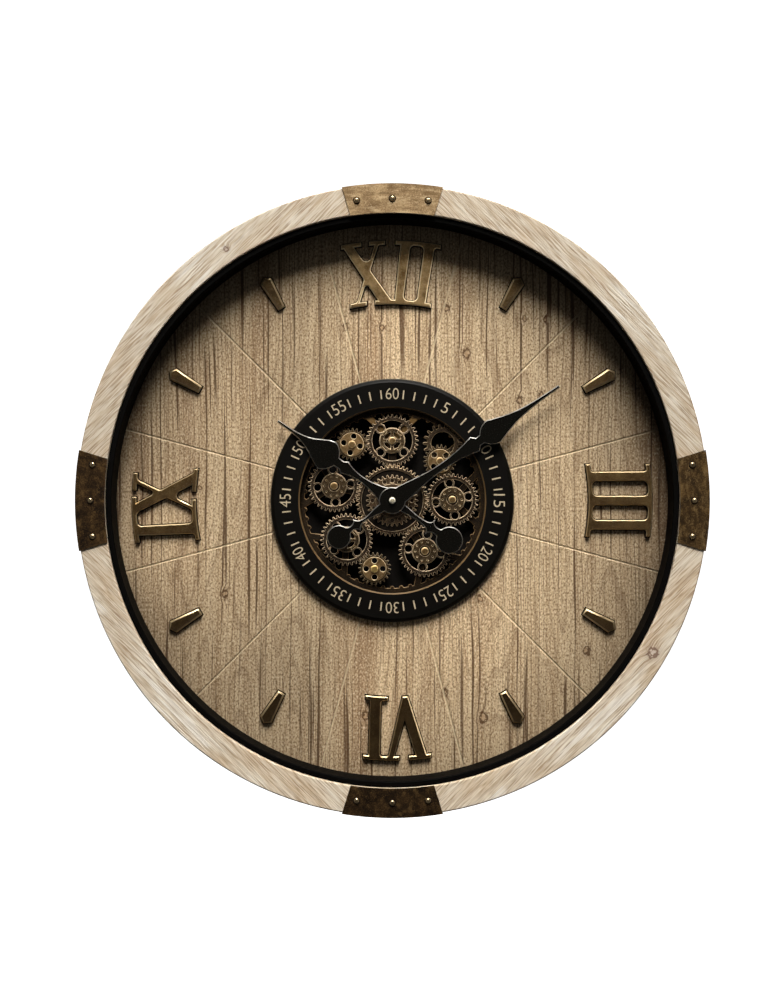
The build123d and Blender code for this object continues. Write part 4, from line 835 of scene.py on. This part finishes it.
finishes = {
    "dial_pine": pine_finish("dial_pine"),
    "limed_rim_rising": limed_finish("limed_rim_rising", GRAIN_RISING),
    "limed_rim_falling": limed_finish("limed_rim_falling", GRAIN_FALLING),
    "case_stain": stained_finish("case_stain"),
    "back_bronze": skeleton_finish("back_bronze"),
    "hand_black": lacquer_finish("hand_black", HAND_ROUGHNESS),
    "chapter_black": chapter_finish("chapter_black"),
}
for make_finish, rows in (
    (bronze_finish, METALS), (wheel_finish, WHEELS), (strap_finish, STRAPS), (patina_finish, NUMERAL_BRONZES),
    (paint_finish, PAINTS),
):
    for name, row in rows.items():
        finishes[name] = make_finish(name, *row)

# Slots and nodes whose finish has another name than the slot
SLOT_FINISHES = {
    "case_wood": "case_stain",
    "rim_wood": "limed_rim_rising",
    "dial_wood": "dial_pine",
    "gear_bronze": "satellite_bronze",
    "hanger_steel": "hanger_zinc",
}
NODE_FINISHES = {
    "rim_segment_upper_right": "limed_rim_falling",
    "rim_segment_lower_left": "limed_rim_falling",
    "rim_strap_top": "strap_light",
    "rim_strap_right": "strap_warm",
    "centre_wheel": "centre_bronze",
    "centre_top_wheel": "top_wheel_bronze",
    "coarse_wheel": "coarse_bronze",
    "hour_markers": "marker_bronze",
    "numeral_twelve": "twelve_bronze",
}


# Pieces
def finish_of(node):
    """The finish of a CAD node: its own one, or else that of its slot."""
    slot = slot_of_node[node]
    return finishes[NODE_FINISHES.get(node, SLOT_FINISHES.get(slot, slot))]


def dress(node):
    """Give a CAD node its finish."""
    materials = nodes[node].data.materials
    materials.clear()
    materials.append(finish_of(node))


def place_piece(name, shape, finish, body):
    """Turn a finished bmesh into a piece that rides on a body."""
    mesh = bpy.data.meshes.new(name)
    shape.to_mesh(mesh)
    shape.free()
    mesh.materials.append(finish)
    mesh.shade_smooth()
    mesh.set_sharp_from_angle(angle=SMOOTH_ANGLE)
    piece = bpy.data.objects.new(name, mesh)
    bpy.context.scene.collection.objects.link(piece)
    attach(piece, body)
    return piece


def merged_copy(node):
    """Copy of a CAD node's mesh with its loose triangles joined into whole faces."""
    shape = bmesh.new()
    shape.from_mesh(nodes[node].data)
    bmesh.ops.remove_doubles(shape, verts=shape.verts, dist=MERGE_GAP)
    bmesh.ops.dissolve_limit(
        shape, angle_limit=FLAT_ANGLE, verts=shape.verts, edges=shape.edges, use_dissolve_boundaries=False
    )
    return shape


def eased(node, width, side):
    """Copy of a CAD node, which stands for it, with the sharp edges of its front or back eased."""
    shape = merged_copy(node)
    sharp = []
    for edge in shape.edges:
        if edge.is_convex and len(edge.link_faces) == 2 and edge.calc_face_angle() > SHARP_ANGLE:
            if max(face.normal.y * side for face in edge.link_faces) > FRONT_SHARE:
                sharp.append(edge)
    bmesh.ops.bevel(
        shape, geom=sharp, offset=width, offset_type="OFFSET", segments=1, profile=0.5,
        affect="EDGES", material=-1, clamp_overlap=False,
    )
    piece = place_piece("eased_" + node, shape, finish_of(node), body_of_node[node])
    for polygon in piece.data.polygons:
        if abs(polygon.normal.y) > FLAT_SHARE:
            polygon.use_smooth = False
    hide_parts(node)
    return piece


# Width of the eased edges on the fronts and on the backs
EASED = {
    "numeral_twelve": 0.0010, "numeral_three": 0.0010, "numeral_six": 0.0010, "numeral_nine": 0.0010,
    "hour_hand": 0.0008, "minute_hand": 0.0008, "centre_wheel": 0.0004, "centre_top_wheel": 0.0004,
    "back_wheel": 0.0005, "coarse_wheel": 0.0004, "dial_board": 0.0006, "chapter_ring": 0.0005,
    "hour_markers": 0.0003,
}
for wheel in ("top", "right", "lower_right", "lower_left", "left"):
    EASED["satellite_" + wheel] = 0.0004
    EASED["hub_plate_" + wheel] = 0.0003
for wheel in ("upper_left", "upper_right", "bottom"):
    EASED["small_wheel_" + wheel] = 0.0004

EASED_BACK = {
    "movement_case": 0.0006, "movement_cover": 0.0006, "motor_case": 0.0006, "motor_cover": 0.0006,
    "setting_knob": 0.0005, "hanger_plate": 0.0004, "case_ring": 0.0015,
}

for node in nodes:
    dress(node)
pieces = dict(nodes)
for widths, side in ((EASED, FRONT), (EASED_BACK, BACK)):
    for node, width in widths.items():
        pieces[node] = eased(node, width, side)


def dark_seat(node, ground, width):
    """Thin dark line of painted shade on the ground around the foot of a raised numeral, marker or rivet."""
    shape = merged_copy(node)
    for height, above in ((ground - PRINT_LIFT, True), (ground, False)):
        bmesh.ops.bisect_plane(
            shape, geom=shape.verts[:] + shape.edges[:] + shape.faces[:],
            plane_co=(0, height, 0), plane_no=(0, -1, 0), clear_outer=above, clear_inner=not above,
        )
    flats = [face for face in shape.faces if abs(face.normal.y) > FRONT_SHARE]
    bmesh.ops.delete(shape, geom=flats, context="FACES")
    bmesh.ops.solidify(shape, geom=shape.faces[:], thickness=-width)
    bmesh.ops.recalc_face_normals(shape, faces=shape.faces)
    return place_piece("seat_" + node, shape, finishes["seat_dark"], body_of_node[node])


# Painted shade: thin dark lines round the feet of the numerals, markers and rivets
for node in ("numeral_twelve", "numeral_three", "numeral_six", "numeral_nine", "hour_markers"):
    dark_seat(node, DIAL_FRONT, SHADE_LINE_WIDTH)
dark_seat("strap_rivets", STRAP_FRONT, RIVET_SHADE_LINE_WIDTH)


def figure_shape(text):
    """Flat mesh of a printed number, centred on the origin in the XY plane."""
    curve = bpy.data.curves.new("figure", "FONT")
    curve.body = text
    curve.align_x = "CENTER"
    curve.align_y = "CENTER"
    curve.resolution_u = FIGURE_RESOLUTION
    curve.offset = FIGURE_THINNING
    writer = bpy.data.objects.new("figure", curve)
    bpy.context.scene.collection.objects.link(writer)
    bpy.context.view_layer.update()
    mesh = bpy.data.meshes.new_from_object(writer.evaluated_get(bpy.context.evaluated_depsgraph_get()))
    bpy.data.objects.remove(writer)
    bpy.data.curves.remove(curve)
    low = Vector((min(v.co.x for v in mesh.vertices), min(v.co.y for v in mesh.vertices), 0))
    high = Vector((max(v.co.x for v in mesh.vertices), max(v.co.y for v in mesh.vertices), 0))
    width = FIGURE_WIDTH * len(text) + FIGURE_GAP * (len(text) - 1)
    size = Matrix.Diagonal((width / (high.x - low.x), FIGURE_HEIGHT / (high.y - low.y), 1, 1))
    mesh.transform(size @ Matrix.Translation(-(low + high) / 2))
    return mesh


def on_chapter(minute, radius):
    """Place on the chapter ring, flat on its front with the top outward, for a minute."""
    centre = Matrix.Translation((0, CHAPTER_FRONT - PRINT_LIFT, AXIS_Z))
    turn = Matrix.Rotation(radians(DEGREES_A_MINUTE * minute), 4, "Y")
    stand = Matrix.Rotation(radians(90), 4, "X")
    return centre @ turn @ Matrix.Translation((0, 0, radius)) @ stand


def minute_print():
    """Cream print of the chapter ring: a bar for each minute and a number for each fifth one."""
    shape = bmesh.new()
    for minute in range(1, 61):
        if minute % 5:
            bmesh.ops.create_grid(
                shape, x_segments=1, y_segments=1, size=0.5,
                matrix=on_chapter(minute, BAR_RADIUS) @ Matrix.Diagonal((BAR_WIDTH, BAR_LENGTH, 1, 1)),
            )
        else:
            figure = figure_shape(str(minute))
            figure.transform(on_chapter(minute, FIGURE_RADIUS))
            shape.from_mesh(figure)
            bpy.data.meshes.remove(figure)
    bmesh.ops.solidify(shape, geom=shape.faces[:], thickness=-PRINT_LIFT)
    bmesh.ops.recalc_face_normals(shape, faces=shape.faces)
    return place_piece("minute_print", shape, finishes["print_cream"], "case")


minute_print()


# Studio: pale floor and backdrop, soft lights, the photograph's camera
def stage_sheet(name, matrix, finish):
    """Flat sheet that isn't part of the clock."""
    shape = bmesh.new()
    bmesh.ops.create_grid(shape, x_segments=1, y_segments=1, size=ROOM / 2, matrix=matrix)
    mesh = bpy.data.meshes.new(name)
    shape.to_mesh(mesh)
    shape.free()
    mesh.materials.append(finish)
    sheet = bpy.data.objects.new(name, mesh)
    bpy.context.scene.collection.objects.link(sheet)
    sheet.visible_diffuse = False
    sheet.visible_glossy = False
    sheet.visible_shadow = False


def glow_finish(name):
    """Evenly lit white paper."""
    finish, _, shader = start_finish(name)
    shader.inputs["Base Color"].default_value = PAPER_WHITE
    shader.inputs["Roughness"].default_value = PAPER_ROUGHNESS
    shader.inputs["Emission Color"].default_value = WHITE
    shader.inputs["Emission Strength"].default_value = PAPER_GLOW
    return finish


def soft_light(name, beside, behind, above, size, power, colour):
    """Square softbox, placed from the axis and aimed at the middle of the dial."""
    lamp = bpy.data.lights.new(name, "AREA")
    lamp.shape = "SQUARE"
    lamp.size = size
    lamp.energy = power
    lamp.color = colour
    box = bpy.data.objects.new(name, lamp)
    bpy.context.scene.collection.objects.link(box)
    box.location = (beside, behind, AXIS_Z + above)
    aim = Vector((0, DIAL_FRONT, AXIS_Z)) - Vector((beside, behind, AXIS_Z + above))
    box.rotation_mode = "QUATERNION"
    box.rotation_quaternion = aim.to_track_quat("-Z", "Y")
    return box


paper = glow_finish("white_paper")
floor_z = AXIS_Z - FLOOR_DROP
stage_sheet("floor", Matrix.Translation((0, 0, floor_z)), paper)
for number in range(4):
    turn = Matrix.Rotation(radians(90 * number), 4, "Z")
    upright = Matrix.Translation((0, ROOM / 2, ROOM / 2 + floor_z)) @ Matrix.Rotation(radians(90), 4, "X")
    stage_sheet("backdrop_%d" % number, turn @ upright, paper)

# Lights: beside, behind and above the middle of the wall face, size, power, colour
LIGHTS = {
    "key": (0.22, -1.85, 3.05, 1.7, 254.0, (1.0, 0.98, 0.95)),
    "back_light": (0.9, 2.4, 1.6, 1.6, 90.0, (1.0, 0.99, 0.97)),
    "side_light_left": (-2.6, 1.3, -0.3, 1.4, 45.0, (1.0, 0.99, 0.97)),
    "side_light_right": (2.6, 1.3, -0.3, 1.4, 45.0, (1.0, 0.99, 0.97)),
    "train_light": (-0.35, -1.5, 0.75, 0.5, 11.0, (1.0, 0.97, 0.93)),
}
lights = {name: soft_light(name, *row) for name, row in LIGHTS.items()}

# The last light reaches the open train alone
OPEN_TRAIN = (
    "satellite_", "hub_plate_", "small_wheel_", "centre_", "coarse_wheel", "back_wheel", "wheel_studs",
    "output_shaft",
)
open_train = bpy.data.collections.new("open_train")
for node, piece in pieces.items():
    if node.startswith(OPEN_TRAIN):
        open_train.objects.link(piece)
lights["train_light"].light_linking.receiver_collection = open_train

world = bpy.data.worlds.new("studio")
bpy.context.scene.world = world
world.use_nodes = True
world.node_tree.nodes["Background"].inputs["Color"].default_value = WHITE
world.node_tree.nodes["Background"].inputs["Strength"].default_value = ROOM_GLOW

camera = bpy.data.cameras.new("camera")
viewer = bpy.data.objects.new("camera", camera)
bpy.context.scene.collection.objects.link(viewer)
bpy.context.scene.camera = viewer
metres_per_pixel = RIM_RADIUS / PHOTO_RIM_RADIUS
half_height = PHOTO_HEIGHT / 2 * metres_per_pixel
camera.sensor_fit = "AUTO"
camera.sensor_width = SENSOR_WIDTH
camera.lens = SENSOR_WIDTH / 2 / (half_height / CAMERA_DISTANCE)
camera.clip_start = NEAREST_SEEN
camera.clip_end = FARTHEST_SEEN
viewer.location = (
    (PHOTO_WIDTH / 2 - PHOTO_CENTRE[0]) * metres_per_pixel,
    cad_low.y - CAMERA_DISTANCE,
    AXIS_Z - (PHOTO_HEIGHT / 2 - PHOTO_CENTRE[1]) * metres_per_pixel,
)
viewer.rotation_euler = (radians(90), 0, 0)
bpy.context.scene.view_settings.view_transform = "Standard"
